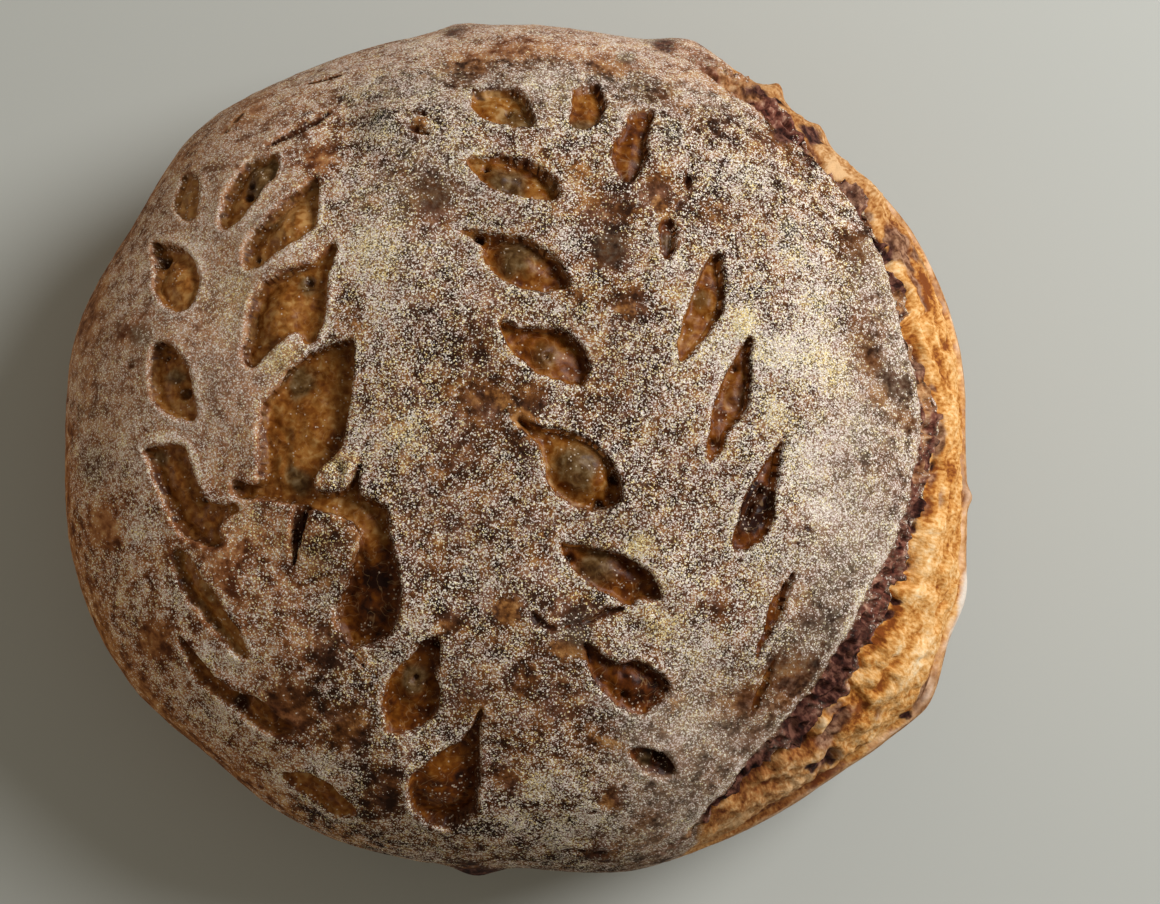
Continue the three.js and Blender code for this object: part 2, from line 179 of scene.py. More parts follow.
RIGHT_EAR = (
    # inner row
    Cut(3.5, 0.82, 30, (
        (-12.5, 87.5), (-5, 89.4), (0.4, 87), (3, 80.5), (2, 77.6), (-6.3, 78.4), (-12, 81.5),
    )),
    Cut(4, 0.6, 45, (
        (-14, 68.2), (-8, 69.9), (0, 69.4), (6.5, 65.6), (9.4, 60.5), (7.5, 57.7), (0, 58.7),
        (-8.6, 61.5),
    )),
    Cut(4.2, 0.6, 45, (
        (-15.3, 50.6), (-6, 49), (2.5, 47.2), (9, 42), (12.2, 35.9), (6.1, 34.4), (-3, 36.2),
        (-8.8, 41), (-10.5, 46.3),
    )),
    Cut(4.2, 0.52, 50, (
        (-5.2, 26.5), (1, 25.8), (8.2, 25.9), (14, 22), (17, 16), (14.8, 11.6), (8, 12.5), (1, 16),
        (-3, 20.5),
    )),
    Cut(5, 0.65, 0, (
        (-2.4, 4.6), (4.3, 1.1), (11, 0.1), (18, -2.6), (23.6, -9.7), (24.6, -15.8), (19.5, -19.2),
        (12, -17.8), (6.2, -12.5), (4.6, -5), (0, 0.4),
    )),
    Cut(4.5, 0.45, 45, (
        (10, -26.3), (18, -27.8), (25.5, -29.9), (31.7, -35), (34, -40.5), (28.6, -40.6),
        (26.5, -42.2), (18.8, -38.4), (12.8, -34), (10, -29.6),
    )),
    # A fold, not a cut: the darkness of its floor is painted shade.
    Cut(2, 0, 70, (
        (3, -43.5), (8.4, -46.6), (14, -45.4), (20, -42.6), (25.5, -42.6), (21, -45), (14.5, -47.1),
        (7.5, -48), (3, -46.5),
    )),
    Cut(4, 0.38, 60, (
        (15, -51), (19.5, -53.4), (23.5, -56), (28.4, -55.3), (34, -58.2), (36.3, -62),
        (33.5, -66.5), (28.5, -68.9), (22, -65.4), (17.2, -59.2),
    )),
    Cut(3.5, 0.3, 0, (
        (26.5, -77.6), (30, -76.6), (35.5, -78.4), (38.5, -82.5), (36.4, -84), (30.4, -82.4),
    )),
    # outer row
    Cut(3, 0.55, 10, (
        (13, 88.7), (16, 91), (19.5, 90.7), (21.4, 85), (19.5, 79.9), (15.4, 77), (12, 78),
        (12.2, 83),
    )),
    Cut(3.5, 0.42, -30, (
        (28, 83), (33.6, 82.5), (31.8, 76), (31.4, 69.5), (28.5, 63.9), (25.3, 63), (22.6, 67.5),
        (22.7, 73.3), (25.2, 78),
    )),
    Cut(3, 0.45, 0, ((36.5, 53.7), (38.5, 50), (37.8, 45.5), (35, 43), (33.6, 46.5), (34, 52.3))),
    Cut(3.6, 0.62, 10, (
        (49.3, 45.3), (45, 42.6), (42, 35), (38.9, 27.5), (38.2, 20.5), (39.4, 17.2), (44.8, 23.1),
        (49.2, 29.5), (50.1, 38),
    )),
    Cut(3.5, 0.5, 0, (
        (56.6, 25), (56.4, 17.8), (55.5, 7), (50.6, 0.5), (48.6, -4.5), (45.8, -7.3), (45.2, -2),
        (47.2, 9), (52.6, 20),
    )),
    Cut(4, 0.42, 20, (
        (64.7, 0), (59.2, -7), (54.5, -15.5), (51.8, -23), (51.5, -28.3), (56.5, -27.5),
        (61.5, -22.5), (62.6, -13.5), (64.2, -5),
    )),
    Cut(2.8, 0.4, 10, (
        (66.7, -33.5), (61.3, -40.8), (58.6, -48.5), (57, -55), (60.2, -51.5), (64.2, -43),
    )),
)
CRACKS = (
    Cut(6, 0, None, ((58.8, -12.6), (61, -14), (57.6, -18), (54.4, -23.6), (54.6, -20))),
    crack(1.2, 0.6, (62.6, -54), (56.4, -70), 2.6),
    crack(3, 0, (41.4, 67), (42, 60), 1.5),
    crack(3, 0, (41, 60.6), (38, 54.8), 1.9),
    crack(1.6, 0.1, (-71.8, -21.3), (-66.6, -24.5), 1.1),
    crack(0.8, 0.9, (-77, 79), (-71.5, 85.5), 1.4),
    crack(1.2, 0.3, (-57, 92.6), (-46, 95), 1.8),
    crack(1.0, 0.1, (-37.4, 74.6), (-35.2, 71), 0.8),
    crack(1.6, 0.1, (-38.9, -53), (-38.2, -57.5), 1),
    crack(2.4, 0, (10.5, -102.8), (24, -104.2), 1.7),
    crack(2.2, 0.5, (-30, 78.2), (-22, 75), 2.4),
    crack(2.0, 0.4, (-29, 83), (-22.6, 80.2), 1.8),
    crack(1.6, 0, (-15.5, 91), (-9.5, 86.8), 1.1),
    crack(1.2, 0.1, (57, 91.6), (57.6, 86.4), 1),
    crack(0.9, 0.1, (67, -21.5), (72.5, -24), 0.8),
    crack(0.9, 0.1, (66.8, -26), (71.6, -29.5), 0.8),
    crack(1.2, 0, (1, -91.4), (4.4, -90.4), 1),
    crack(1.2, 0.1, (16, -92), (20, -92.8), 0.9),
    crack(1.5, 0, (30.8, -46.6), (33.4, -44.6), 0.9),
)
CUTS = LEFT_EAR + RIGHT_EAR + CRACKS

# Rises and pits in the floors of the cuts: x, y, radius, height or depth.
FLOOR_BULGES = (
    (15, -9, 7, 3.2), (-66, 65.5, 3.6, 1.5), (-6.3, 64.5, 3.8, 1.6), (-26, -61.5, 3.5, 1.6),
    (-1, 42.5, 5, 1.8), (19, -33.5, 5, 1.8), (-60, 30, 6, 1.4), (-19, -88, 7, 1.4),
    (6, 19, 4.5, 1.4), (-58, 53, 5, 1.2), (-36, -27, 5, 1.2), (26.5, -61, 4.5, 1.4),
    (-85.5, -13, 4, 1), (-87, 40, 4, 1.2), (-49, 2, 6, 1.2), (46, 33, 3, 1),
)
PITS = (
    (-91.6, 46.4, 1.6, 3), (-84, 10.6, 1.5, 2.6), (-68, 64, 0.9, 2), (-69.2, 61.2, 1.1, 2),
    (-8.8, 66.6, 0.9, 2.4), (-10.8, 48.4, 1.1, 3), (6.3, 18.5, 0.6, 2), (53, 16.4, 0.8, 2),
    (47.2, -2, 0.9, 2), (22.3, -11.5, 1.1, 2.6), (18.4, -18, 1.1, 2), (25.4, -64, 1.1, 2.4),
    (35, -79.8, 2, 3), (-70, -66, 2, 2.4), (-51.4, 65.4, 0.7, 1.2), (-52.6, 38, 1.3, 2),
    (-21, -52.6, 1, 2), (-25.8, -60, 0.9, 2.4), (16, 92, 0.8, 2), (-98, 18.6, 0.9, 1.6),
    (-89.6, 20.2, 0.8, 2), (-66.8, 44.6, 0.7, 1.6), (-3.9, 83, 1, 1.4), (-78.8, -16, 0.8, 1.4),
    (-58, -33.5, 0.6, 0.6), (17, -39.5, 0.7, 1.2), (11.6, -30.5, 0.9, 2), (-86, 60, 0.5, 1),
    (62.5, 88.6, 1.2, 1.5),
)

# Patches of the crust, in rows of: x, y, radius, strength.
FLOUR_PATCHES = (
    # thick, upper left
    (-35, 55, 10, 0.15), (-37, 44, 8, 0.28), (-33, 31, 6, 0.25), (-42, 64, 6, 0.15),
    (-36, 75, 5, 0.15), (-48, 28, 3, 0.25), (-72, 38, 4, 0.25), (-72, 26, 4, 0.25),
    (-82, 50, 4, 0.2), (-78, 58, 3, 0.15), (-66, 55, 4, 0.2), (-56, 48, 4, 0.25),
    (-60, 18, 4, 0.12), (-36, 19, 4, 0.15), (-28, 0, 5, 0.25), (-37, -3, 4, 0.25),
    (-26, 105, 6, 0.25), (-28, 87, 5, 0.1), (-15, 73, 8, 0.15), (-88, 12, 12, 0.08),
    (-20, 45, 7, 0.08),
    # thick, upper right
    (5, 91, 5, 0.25), (8, 74, 4, 0.1), (55, 66, 7, 0.2), (72, 45, 4, 0.25), (55, 28, 4, 0.45),
    (47, 19, 5, 0.3), (64, 20, 5, 0.35), (73, 20, 9, 0.35), (62, 5, 4, 0.4), (70, -6, 8, 0.4),
    (74, -19, 4, 0.5), (83, 2, 7, 0.2), (74, 33, 7, 0.25), (38, 42, 3, 0.2), (12, 47, 3, 0.25),
    (66, 46, 4, 0.2),
    # thick, lower left
    (-97, -5, 6, 0.2), (-93, -22, 6, 0.25), (-84, -40, 5, 0.25), (-66, -23, 4, 0.12),
    (-50, -28, 5, 0.12), (-67, -34, 4, 0.15), (-78, -53, 3, 0.4), (-71, -56, 3, 0.4),
    (-79, -71, 8, 0.18), (-48, -42, 3, 0.3), (-48, -82, 4, 0.4), (-40, -85, 3, 0.3),
    (-24, -45, 5, 0.2), (-36, -56, 4, 0.2), (-9, -33, 7, 0.15), (-31, -80, 3, 0.25),
    (-44, -9, 4, 0.12),
    # thick, lower right
    (28, -28, 4, 0.4), (36, -34, 4, 0.2), (34, -46, 4, 0.2), (27, -50, 4, 0.2), (43, -54, 8, 0.22),
    (43, -70, 6, 0.3), (52, -79, 5, 0.15), (5, -85, 4, 0.35), (18, -93, 4, 0.35),
    (10, -100, 5, 0.3), (0, -96, 4, 0.2), (52, -20, 4, 0.2), (84, -20, 7, 0.15), (62, -31, 5, 0.15),
    # thin
    (-22, 56, 6, -0.3), (-20, 63, 4, -0.15), (-9, 6, 7, -0.25), (-15, -6, 6, -0.25),
    (-12, 22, 6, -0.1), (3, 8, 5, -0.35), (22, 44, 5, -0.35), (34, 60, 6, -0.35),
    (22, 56, 7, -0.28), (27, 32, 5, -0.35), (50, 80, 7, -0.2), (63, 76, 7, -0.3),
    (84, 50, 6, -0.35), (95, 14, 4, -0.5), (89, 19, 4, -0.35), (97, 5, 4, -0.35), (20, 7, 8, -0.15),
    (48, 56, 5, -0.25), (36, 90, 6, -0.2), (2, -2, 5, -0.3), (48, -42, 4, -0.3),
    (-3, -43, 4, -0.35), (55, -65, 4, -0.35), (66, -57, 6, -0.3), (72, -44, 6, -0.2),
    (10, -66, 6, -0.18), (0, -60, 4, -0.3), (18, -73, 6, -0.15), (22, -90, 3, -0.5),
    (32, -96, 5, -0.35), (-4, -85, 3, -0.35), (-17, -46, 4, -0.35), (-12, -65, 5, -0.25),
    (-46, -53, 8, -0.15), (-57, -68, 7, -0.5), (-42, -71, 6, -0.4), (-34, -86, 7, -0.3),
    (-33, -97, 9, -0.22), (-70, -48, 4, -0.3), (-90, -50, 6, -0.3), (-105, -22, 6, -0.35),
    (-98, 27, 4, -0.3), (0, 101, 10, -0.2), (-14, 95, 6, -0.3), (-50, 70, 5, -0.3),
    (70, -62, 11, -0.14), (56, -76, 10, -0.1), (12, -45, 7, -0.2), (-66, -25, 14, -0.14),
    (-45, -26, 9, -0.16), (0, -72, 10, -0.1), (-14, -28, 18, -0.1), (-50, -50, 16, -0.1),
    (10, -50, 12, -0.1), (80, -55, 10, -0.2), (62, -78, 10, -0.2), (46, -84, 8, -0.12),
    (30, -55, 6, -0.12), (84, 25, 7, -0.15), (88, -4, 6, -0.12), (-11, 16, 13, -0.13),
    (41, -9, 12, -0.08), (40, -80, 14, -0.10), (65, -72, 14, -0.08), (-30, 60, 12, -0.08),
    (95, -12, 7, -0.12), (-77, -32, 12, -0.18), (52, 32, 12, 0.08), (20, -101, 12, 0.10),
    (-28, -97, 7, 0.15), (-82, 47, 9, 0.06), (58, 18, 8, 0.15), (45, -66, 8, -0.12),
    (70, -66, 10, -0.1), (-36, 62, 10, -0.08), (88, 30, 8, -0.12), (90, 5, 6, -0.1),
    (-30, -75, 5, -0.12), (-35, 100, 14, 0.12), (50, 98, 8, 0.12), (-100, 14, 12, -0.06),
    (56, 20, 8, 0.1), (40, -66, 10, -0.06), (66, -62, 8, -0.1),
)
BARE_PATCHES = (
    (14.5, 66, 3.4, 1), (13, 33, 4, 0.9), (26, 30, 3, 0.6), (90, 11, 3.4, 1), (-24, -8, 6, 0.5),
    (-33, -3, 5, 0.4), (-30, 3, 4, 0.7), (-3, -44, 4, 0.8), (-62, 98, 6, 0.4), (36, 64, 3, 0.5),
    (-90, -50, 6, 0.6), (22, -90, 3, 0.6), (-34, 29, 3, 0.3), (10, 55, 5, 0.4), (24, 53, 6, 0.4),
    (-40, 26, 2.6, 0.9), (48, 56, 4, 0.5), (34, 40, 4, 0.3), (-18, 12, 5, 0.3), (37, -66, 3, 0.7),
    (-46, -53, 7, 0.3), (-8, -68, 4, 0.4), (42, 85, 3, 0.6), (50, 92, 4, 0.6), (-88, 24, 3, 0.6),
    (40, -25, 5, 0.25), (-40, -70, 5, 0.3), (-105, -20, 9, 0.2), (48, 73, 4, 0.3), (23, 96, 5, 0.7),
    (-70, 84, 5, 0.5), (-50, 70, 4, 0.5), (2, 2, 5, 0.35), (4, -60, 4, 0.3), (-25, -100, 8, 0.3),
    (-25, 78, 3, 0.9),
)
# Straight streaks of it: start, end, radius, strength.
BARE_STREAKS = (
    ((-46, 88), (-20, 96), 4, 0.5), ((-20, 97), (2, 101), 5, 0.55), ((8, 101), (24, 98), 5, 0.55),
    ((42, 99), (64, 86), 3.5, 0.8), ((-6.5, 9), (2, 2.4), 2.4, 0.8),
    ((5.5, -24.5), (11, -29), 2, 0.7), ((8, -52), (17, -55), 2.2, 0.9),
    ((17, -74), (27, -78), 1.6, 0.8), ((-10, 31), (-5, 26.5), 1.6, 0.6),
    ((-15, 51), (-4, 50), 1.6, 0.6), ((-15.5, 67.5), (-9, 70.5), 1.6, 0.6),
    ((28, 85), (33, 80), 2, 0.6), ((33, 58), (36, 54), 2, 0.6), ((-38, -55), (-35, -64), 2.5, 0.6),
    ((-50, -74), (-42, -86), 4, 0.5), ((-108, -20), (-98, -60), 8, 0.4),
    ((-108, 40), (-112, 5), 4, 0.7), ((-70, -72), (-60, -78), 2.5, 0.4),
    ((36, -100), (24, -103), 2, 0.7), ((-88, 72), (-66, 90), 4, 0.6),
    ((-60, -88), (-35, -104), 4, 0.4),
)
# Grey patches: scorched thin blisters, and painted shadow under a blister and along a fold.
GREY_PATCHES = (
    (-35, 79, 3.6, 1.4), (-22, 60, 7, 0.7), (22, 46, 6, 0.75), (67, 53, 2.6, 1.5),
    (-95, 26, 4, 0.9), (-108, -6, 6, 0.8), (62, 64, 8, 0.5), (87, 45, 9, 0.6), (94, 14, 8, 0.6),
    (82, -30, 12, 0.7), (74, -50, 10, 0.7), (36, 108, 6, 0.8), (-24, 88, 5, 0.5), (-94, 6, 5, 0.4),
    (-56, 76, 4, 0.5), (10, -104, 6, 0.4), (27, 100, 3, 1.2), (70, 47, 2, 1), (38, 77, 3.5, 1),
    (-18, 110, 5, 0.8), (60, -56, 8, 0.5), (40, -90, 6, 0.4), (14, -48, 6, 0.8),
)
# Creamy yellow flour, in clumps.
YELLOW_PATCHES = (
    (-44, -9, 5, 1), (-58, 18, 5, 1), (-50, -28, 7, 0.9), (-66, -23, 5, 1), (-28, 0, 7, 0.8),
    (-36, 45, 9, 0.3), (-34, 58, 8, 0.2), (28, -28, 4, 0.8), (34, -46, 4, 0.9), (62, 5, 5, 0.5),
    (55, 28, 4, 0.6), (43, -69, 5, 0.2), (-72, 34, 8, 0.5), (13, 33, 5, 0.6), (5, -85, 5, 0.3),
    (76, 16, 5, 0.4), (-20, 15, 8, 0.4), (-15, 74, 7, 0.3),
)
# Translucent olive skin over hollows in the floors of the cuts.
OLIVE_PATCHES = (
    (-55, -11, 4.5, 1), (-55, 13, 4.5, 0.9), (-64.5, 66, 6, 1.4), (-62, 53, 3, 0.6),
    (-53, 37, 3, 0.9), (-62, 21, 3, 0.6), (-2, 81, 4, 0.8), (-4, 63, 5.5, 0.9), (-1, 43, 6, 0.9),
    (14, -9, 7, 0.9), (18, -33, 6, 0.8), (15, 79, 3, 0.8), (36, 48, 3, 0.8), (45, 33, 4, 0.6),
    (-87, 15, 3.5, 0.8), (-90, -5, 3, 0.8), (-26, -60, 4, 1), (31, -80, 3, 0.8), (-76, -40, 4, 0.6),
    (-86, 62, 4, 0.5), (6, 19, 5, 0.6), (54, 10, 4, 0.5), (-34, -22, 3, 0.4), (30, 70, 3, 0.5),
)
# Rough scraps of dough.
CLUMPS = (
    (-44, -8.5, 4.5, 1), (-57, 18.5, 3, 0.8), (31, -44.5, 3, 0.6), (-26, 79, 3.4, 0.7),
)
# Darker places in the floors of the cuts.
DARK_FLOORS = (
    (-37, -42, 10, 0.5), (-34, -33, 6, 0.3), (-13, -88, 6, 0.25), (-45, -1, 4, 0.3),
    (-62, 1, 4, 0.25), (30, -63, 5, 0.2), (35, -80, 4, 0.4), (58.5, -15.5, 3, 1.6),
    (56, -20, 3, 1.6),
)

# Marks on the burst, in rows of: angle in degrees, how far out, spread along and across, and
# strength. How far out is a share of the crumb's width, or where negative of the band's width,
# back from its foot.
# Dark marks: charred crust, and painted shadow in crevices and hollows of the crumb.
DARK_MARKS = (
    (42.5, 0, 1.2, 1, 0.8), (29.3, -0.2, 2.2, 1.6, 1.2), (28, -0.3, 2.6, 1.6, 1),
    (27.2, 0.1, 1.8, 2, 1.3), (28.5, 0.2, 3, 2, 0.7), (23, -0.4, 2, 1.3, 0.9), (22, 0, 2.4, 1.2, 1),
    (18.8, 0, 1, 0.8, 0.8), (-3, 0.07, 2.6, 1.2, 0.8), (-8.5, -0.2, 3.5, 1.4, 1.1),
    (-10.3, -0.3, 2.2, 3, 1), (-12.5, 0.03, 2, 1.4, 1.1), (-17.3, 0.04, 1.6, 1.6, 0.7),
    (-23, 0.06, 1.4, 1.4, 1.3), (-25.4, 0.08, 1.4, 1.4, 1.3), (-39.5, -0.5, 4, 4, 1.3),
    (-45.5, -0.5, 6, 4, 1.3), (-47.3, 0.04, 3, 1.4, 1), (-39.7, 0.23, 2.2, 1, 0.9),
    (-41.8, 0.27, 2, 1.4, 0.9), (-34.5, 0.9, 1.4, 1.6, 1.1), (-45.5, 0.65, 2, 2.4, 1),
    (-47.8, 0.5, 2.2, 1.8, 1.2), (47, 0.6, 3, 5, 0.7), (53, 0.5, 4, 6, 0.4), (58, 0.6, 5, 6, 0.4),
    (40, -0.5, 3, 2, 0.6), (-31, -0.5, 9, 3.5, 0.75), (-36, -0.5, 5, 3.5, 0.8),
    (-55, -0.4, 9, 2.4, 1.1), (-61, -0.5, 6, 1.8, 1.1), (-45.5, 0.55, 4, 1.6, 0.7),
    (-24, -0.6, 3, 2, 0.5), (25.5, -0.6, 3, 1.4, 0.5),
)
# Purple-brown skin, and in places painted shade.
PURPLE_MARKS = (
    (37, -0.5, 4.5, 3.2, 0.9), (33.8, 0.05, 1.6, 2, 0.9), (28, 0.5, 4.5, 2.4, 0.9),
    (28.5, 0.3, 5, 3, 0.9), (25.4, 0.42, 2.6, 2, 1), (26.3, 0.68, 2, 1.4, 0.8),
    (11, -0.5, 2.6, 3, 0.9), (1.5, 0.02, 4.5, 1.6, 0.8), (-7.3, 0.3, 2.6, 0.9, 0.5),
    (-4.2, 0.92, 2.6, 1.2, 0.7), (-31, 0.92, 6, 2.6, 0.9), (-36.5, 0.6, 1.6, 1.4, 0.5),
    (-43.6, 0.27, 2, 1, 0.5), (7.5, 0.1, 1, 1, 0.7), (20, 0.4, 3, 1.2, 0.6), (0, 0.1, 4, 1.6, 0.9),
    (-5, 0.12, 3, 1.2, 0.5), (-41, 0.3, 5, 2, 0.8), (-44.5, 0.35, 4, 2, 0.6),
    (-40, 0.1, 3, 1.4, 0.6), (24.5, 0.75, 3, 2, 0.5), (45, 0.1, 4, 2, 0.4), (22.5, 0.35, 3, 2, 0.5),
    (-5, 0.85, 4, 2.4, 0.4), (-9, 0.12, 3, 1.5, 0.4), (-46, 0.6, 5, 2.5, 0.5),
)
# Amber marks: orange-brown crumb, and painted shade in its pockets and folds.
AMBER_MARKS = (
    (43, 0.2, 2, 2, 0.5), (30.7, 0.45, 2, 3, 1), (22, 0.6, 3.4, 2.4, 1.6),
    (19.3, 0.44, 3, 1.2, 0.9), (17, 0.1, 1, 2.4, 0.6), (16.5, 0.6, 3, 1.5, 0.6),
    (13.7, 0.62, 1.8, 2, 1.4), (11.5, 0.38, 7, 1.2, 0.9), (9, 0.5, 3, 1.2, 0.5),
    (-3.2, 0.45, 3, 2, 1), (-7, 0.46, 4, 0.8, 0.9), (-8.5, 0.1, 1.1, 1, 1), (-13, 0.7, 4, 0.8, 0.4),
    (-24.2, 0.1, 1.4, 2, 0.7), (-28, 0.1, 4, 2, 0.9), (-31, 0.1, 3, 1.4, 0.6),
    (-28, 0.45, 3, 0.9, 0.4), (-31, 0.42, 3.4, 1, 0.7), (-34, 0.38, 3, 1.4, 1.2),
    (-37.3, 0.32, 2, 2, 0.8), (-36, 0.02, 3, 1.2, 0.6), (-44, 0.3, 3, 1.6, 0.5),
    (-57.5, 0.2, 3, 1.8, 0.9), (-54.5, 0.35, 1.2, 1, 0.7), (-63, 0.2, 6, 1.5, 0.5),
    (-66.5, -0.4, 4, 1.6, 1), (13, -0.4, 2.6, 3, 1), (7, -0.4, 5, 3, 0.8), (1, -0.6, 5, 1.6, 0.6),
    (32, -0.4, 3, 2, 0.6), (60, -0.4, 10, 4, 0.8), (20.5, -0.4, 4, 2, 0.6), (27, 0.55, 6, 4, 0.6),
    (20, 0.5, 6, 3, 0.7), (9, 0.12, 4, 1.6, 0.5), (5, 0.1, 3, 1.2, 0.5), (-25, 0.12, 3, 1.8, 0.6),
    (-40, 0.35, 8, 3, 0.8), (-47, 0.2, 6, 2.4, 0.7), (-54, 0.15, 6, 2, 0.8), (-25, 0.85, 5, 2, 0.5),
    (15, 0.12, 4, 2, 0.9), (-5, 0.12, 5, 2, 1), (-10, 0.12, 4, 2, 0.9), (4, 0.75, 7, 4, 0.5),
    (21, 0.85, 8, 2.5, 0.8), (-5, 0.85, 6, 2.5, 0.8), (-48, 0.85, 9, 2.5, 0.9),
    (-56, 0.8, 7, 2, 0.8), (-40, 0.12, 3, 2, 0.7), (22, 0.33, 4, 2, 0.8), (45, 0.1, 4, 2.5, 0.8),
)
# Cream marks: pale crumb, and painted highlights on its curls and swellings.
CREAM_MARKS = (
    (41, 0.2, 5, 3, 0.9), (43, 0.35, 6, 3, 0.9), (41, 0.85, 5, 2, 0.7), (36, 0.5, 3, 1.6, 0.5),
    (32.6, 0.12, 2.2, 1.6, 0.8), (25, 0.12, 2.4, 2.6, 0.6), (22, 0.18, 4.5, 1.8, 0.4),
    (18.2, 0, 1.4, 1.2, 1), (15.5, 0.12, 3, 2.4, 0.3), (14.6, 0.5, 2, 1, 0.4),
    (9, 0.15, 2.4, 1.6, 0.7), (5.5, -0.6, 4, 0.8, 0.9), (2, 0.45, 8, 2, 0.4), (-11, 0.3, 4, 2, 0.5),
    (-15, 0.35, 5, 3, 0.5), (-21, 0.3, 4, 2, 0.4), (-28.8, 0.35, 2.4, 1.3, 1.1),
    (-28, 0.6, 8, 3, 1), (-34, 0.12, 3, 2, 0.6), (-43, 0.12, 2.4, 1.4, 1.1),
    (-46.5, 0.38, 2.4, 1.2, 0.7), (-51.5, 0.3, 3, 0.9, 0.9), (-51, 0.6, 5, 2, 0.8),
    (-60, 0.6, 6, 2, 0.8), (-53, 0.2, 2, 2, 0.4), (20.5, -0.5, 2, 2, 0.6), (-4.5, -0.5, 4, 2, 0.7),
)
PALE_MARKS = (
    (-17.5, 0.97, 7, 2.4, 0.8), (-23, 1, 6, 1.6, 0.5),
)
# Each kind of mark with the seed of its noise.
BURST_MARKS = {
    "dark": (DARK_MARKS, 501), "purple": (PURPLE_MARKS, 525), "amber": (AMBER_MARKS, 511),
    "cream": (CREAM_MARKS, 521), "white": (PALE_MARKS, 529),
}
# Charred knobs of the rim and lip: x, y, radius, strength.
CHAR_SPOTS = (
    (62, 92, 3, 1), (57.5, 92, 2, 0.8), (76, 83, 3.4, 1.1), (67, 79, 3.4, 0.9), (-17, 109, 4, 0.6),
    (37, 105, 4, 0.7), (-12, -112, 6.5, 1.3), (20, -104, 5, 0.5), (73, 72, 4, 0.5),
    (68, 91, 1.2, 0.8),
)

CRUST_WAVE, CRUST_SWELL = 34.0, 0.9
WAVE_DIRECTIONS = 5

# A patch reaches this far up and down before its distance counts by height too.
HEIGHT_SLACK = 3.0
STEEP_SHARE = 0.8
# Radii that turn an angle into a length along the burst, for its marks and its fibres.
MARK_ARC, FIBRE_ARC = 112.0, 116.0
# Where a cut has no dark side, every place in it counts as this far towards one.
EVEN_SIDE = 0.35

# Mesh spacing.
SPACING = 1.14
FINE_SPACING = 0.8
FINE_MARGIN = 1.6
CROWN_EDGE = 0.955  # share of the widest radius where the crown's mesh ends, off the burst
WALL_WIDTH = 0.9
RIM_WIDTH = 0.9
CUT_REACH = 3.0  # how far outside its outline a cut still shapes the crust
GRID_REACH = 135.0
MERGE_GAP = 1e-5
RING_START = -78
BURST_TURNS = 410
OTHER_TURNS = 290
SHOULDER_RINGS = 56
SIDE_RINGS = 11
SIDE_TURNS = 460
BASE_RINGS = 9
BASE_LEAST_TURNS = 12
# Shares of the shoulder's rings taken by the step under the lip, the band and its ledge.
LIP_SHARE, BAND_SHARE, LEDGE_SHARE = 0.05, 0.3, 0.36
CROWN, SHOULDER, SIDE, BASE = range(4)


# ---------------------------------------------------------------- plain functions

def mix(a, b, share):
    return a + (b - a) * share


def smooth_step(low, high, value):
    share = np.clip((value - low) / (high - low), 0, 1)
    return share * share * (3 - 2 * share)


def hump(value, middle, width):
    """A soft bump of height 1 round the middle."""
    return np.exp(-((value - middle) / width) ** 2)


def signed_degrees(angle):
    return (np.degrees(angle) + 180) % 360 - 180


def catmull_rom(before, start, end, after, share):
    slope_in = (end - before) / 2
    slope_out = (after - start) / 2
    square = share * share
    cube = square * share
    return (
        (2 * cube - 3 * square + 1) * start
        + (cube - 2 * square + share) * slope_in
        + (3 * square - 2 * cube) * end
        + (cube - square) * slope_out
    )


def waves(x, y, length):
    """Sums of waves in several directions, for broad swells."""
    total = 0
    for i in range(WAVE_DIRECTIONS):
        heading = i * 2.4 + 0.7
        along = x * math.cos(heading) + y * math.sin(heading)
        total = total + np.sin(along * 2 * math.pi / (length * (0.8 + 0.14 * i)) + 1.7 * i * i)
    return total * 1.6 / WAVE_DIRECTIONS


def lattice(ix, iy, iz, seed):
    """A repeatable pseudo-random value from 0 to 1 at each lattice point."""
    mask = 0xFFFFFFFF
    mixed = (ix * 73856093) ^ (iy * 19349663) ^ (iz * 83492791) ^ (seed * 26544357)
    mixed = ((mixed ^ (mixed >> 13)) & mask) * 1274126177 & mask
    mixed = ((mixed ^ (mixed >> 15)) & mask) * 2246822519 & mask
    return ((mixed ^ (mixed >> 16)) & 0xFFFF) / 65535.0


def value_noise(points, length, seed):
    """Smooth noise between -1 and 1 with features of the given length."""
    scaled = np.asarray(points) / length
    cell = np.floor(scaled).astype(np.int64)
    share = scaled - cell
    share = share * share * (3 - 2 * share)
    total = 0
    for corner in range(8):
        step = np.array([corner & 1, (corner >> 1) & 1, (corner >> 2) & 1])
        weight = np.prod(np.where(step, share, 1 - share), axis=1)
        ix, iy, iz = (cell + step).T
        total = total + weight * lattice(ix, iy, iz, seed)
    return 2 * total - 1


def fractal(points, length, seed, octaves=3):
    """Noise with ever finer features, between -1 and 1."""
    total = 0
    reach = 0
    for octave in range(octaves):
        share = 0.5 ** octave
        total = total + share * value_noise(points, length * share, seed + 17 * octave)
        reach += share
    return total / reach


def ridges(points, length, seed, octaves=2):
    """Noise with sharp crests, between -1 and 1."""
    return 1 - 2 * np.abs(fractal(points, length, seed, octaves)) * 1.6


# ---------------------------------------------------------------- form of the crust

def waist_radius(angle):
    """Radius of the loaf where it is widest."""
    count = len(WAIST_RADII)
    radii = np.array(WAIST_RADII, float)
    place = (np.asarray(angle) % (2 * math.pi)) / (2 * math.pi) * count
    index = np.floor(place).astype(int)
    around = [radii[(index + step) % count] for step in (-1, 0, 1, 2)]
    return catmull_rom(*around, place - index)


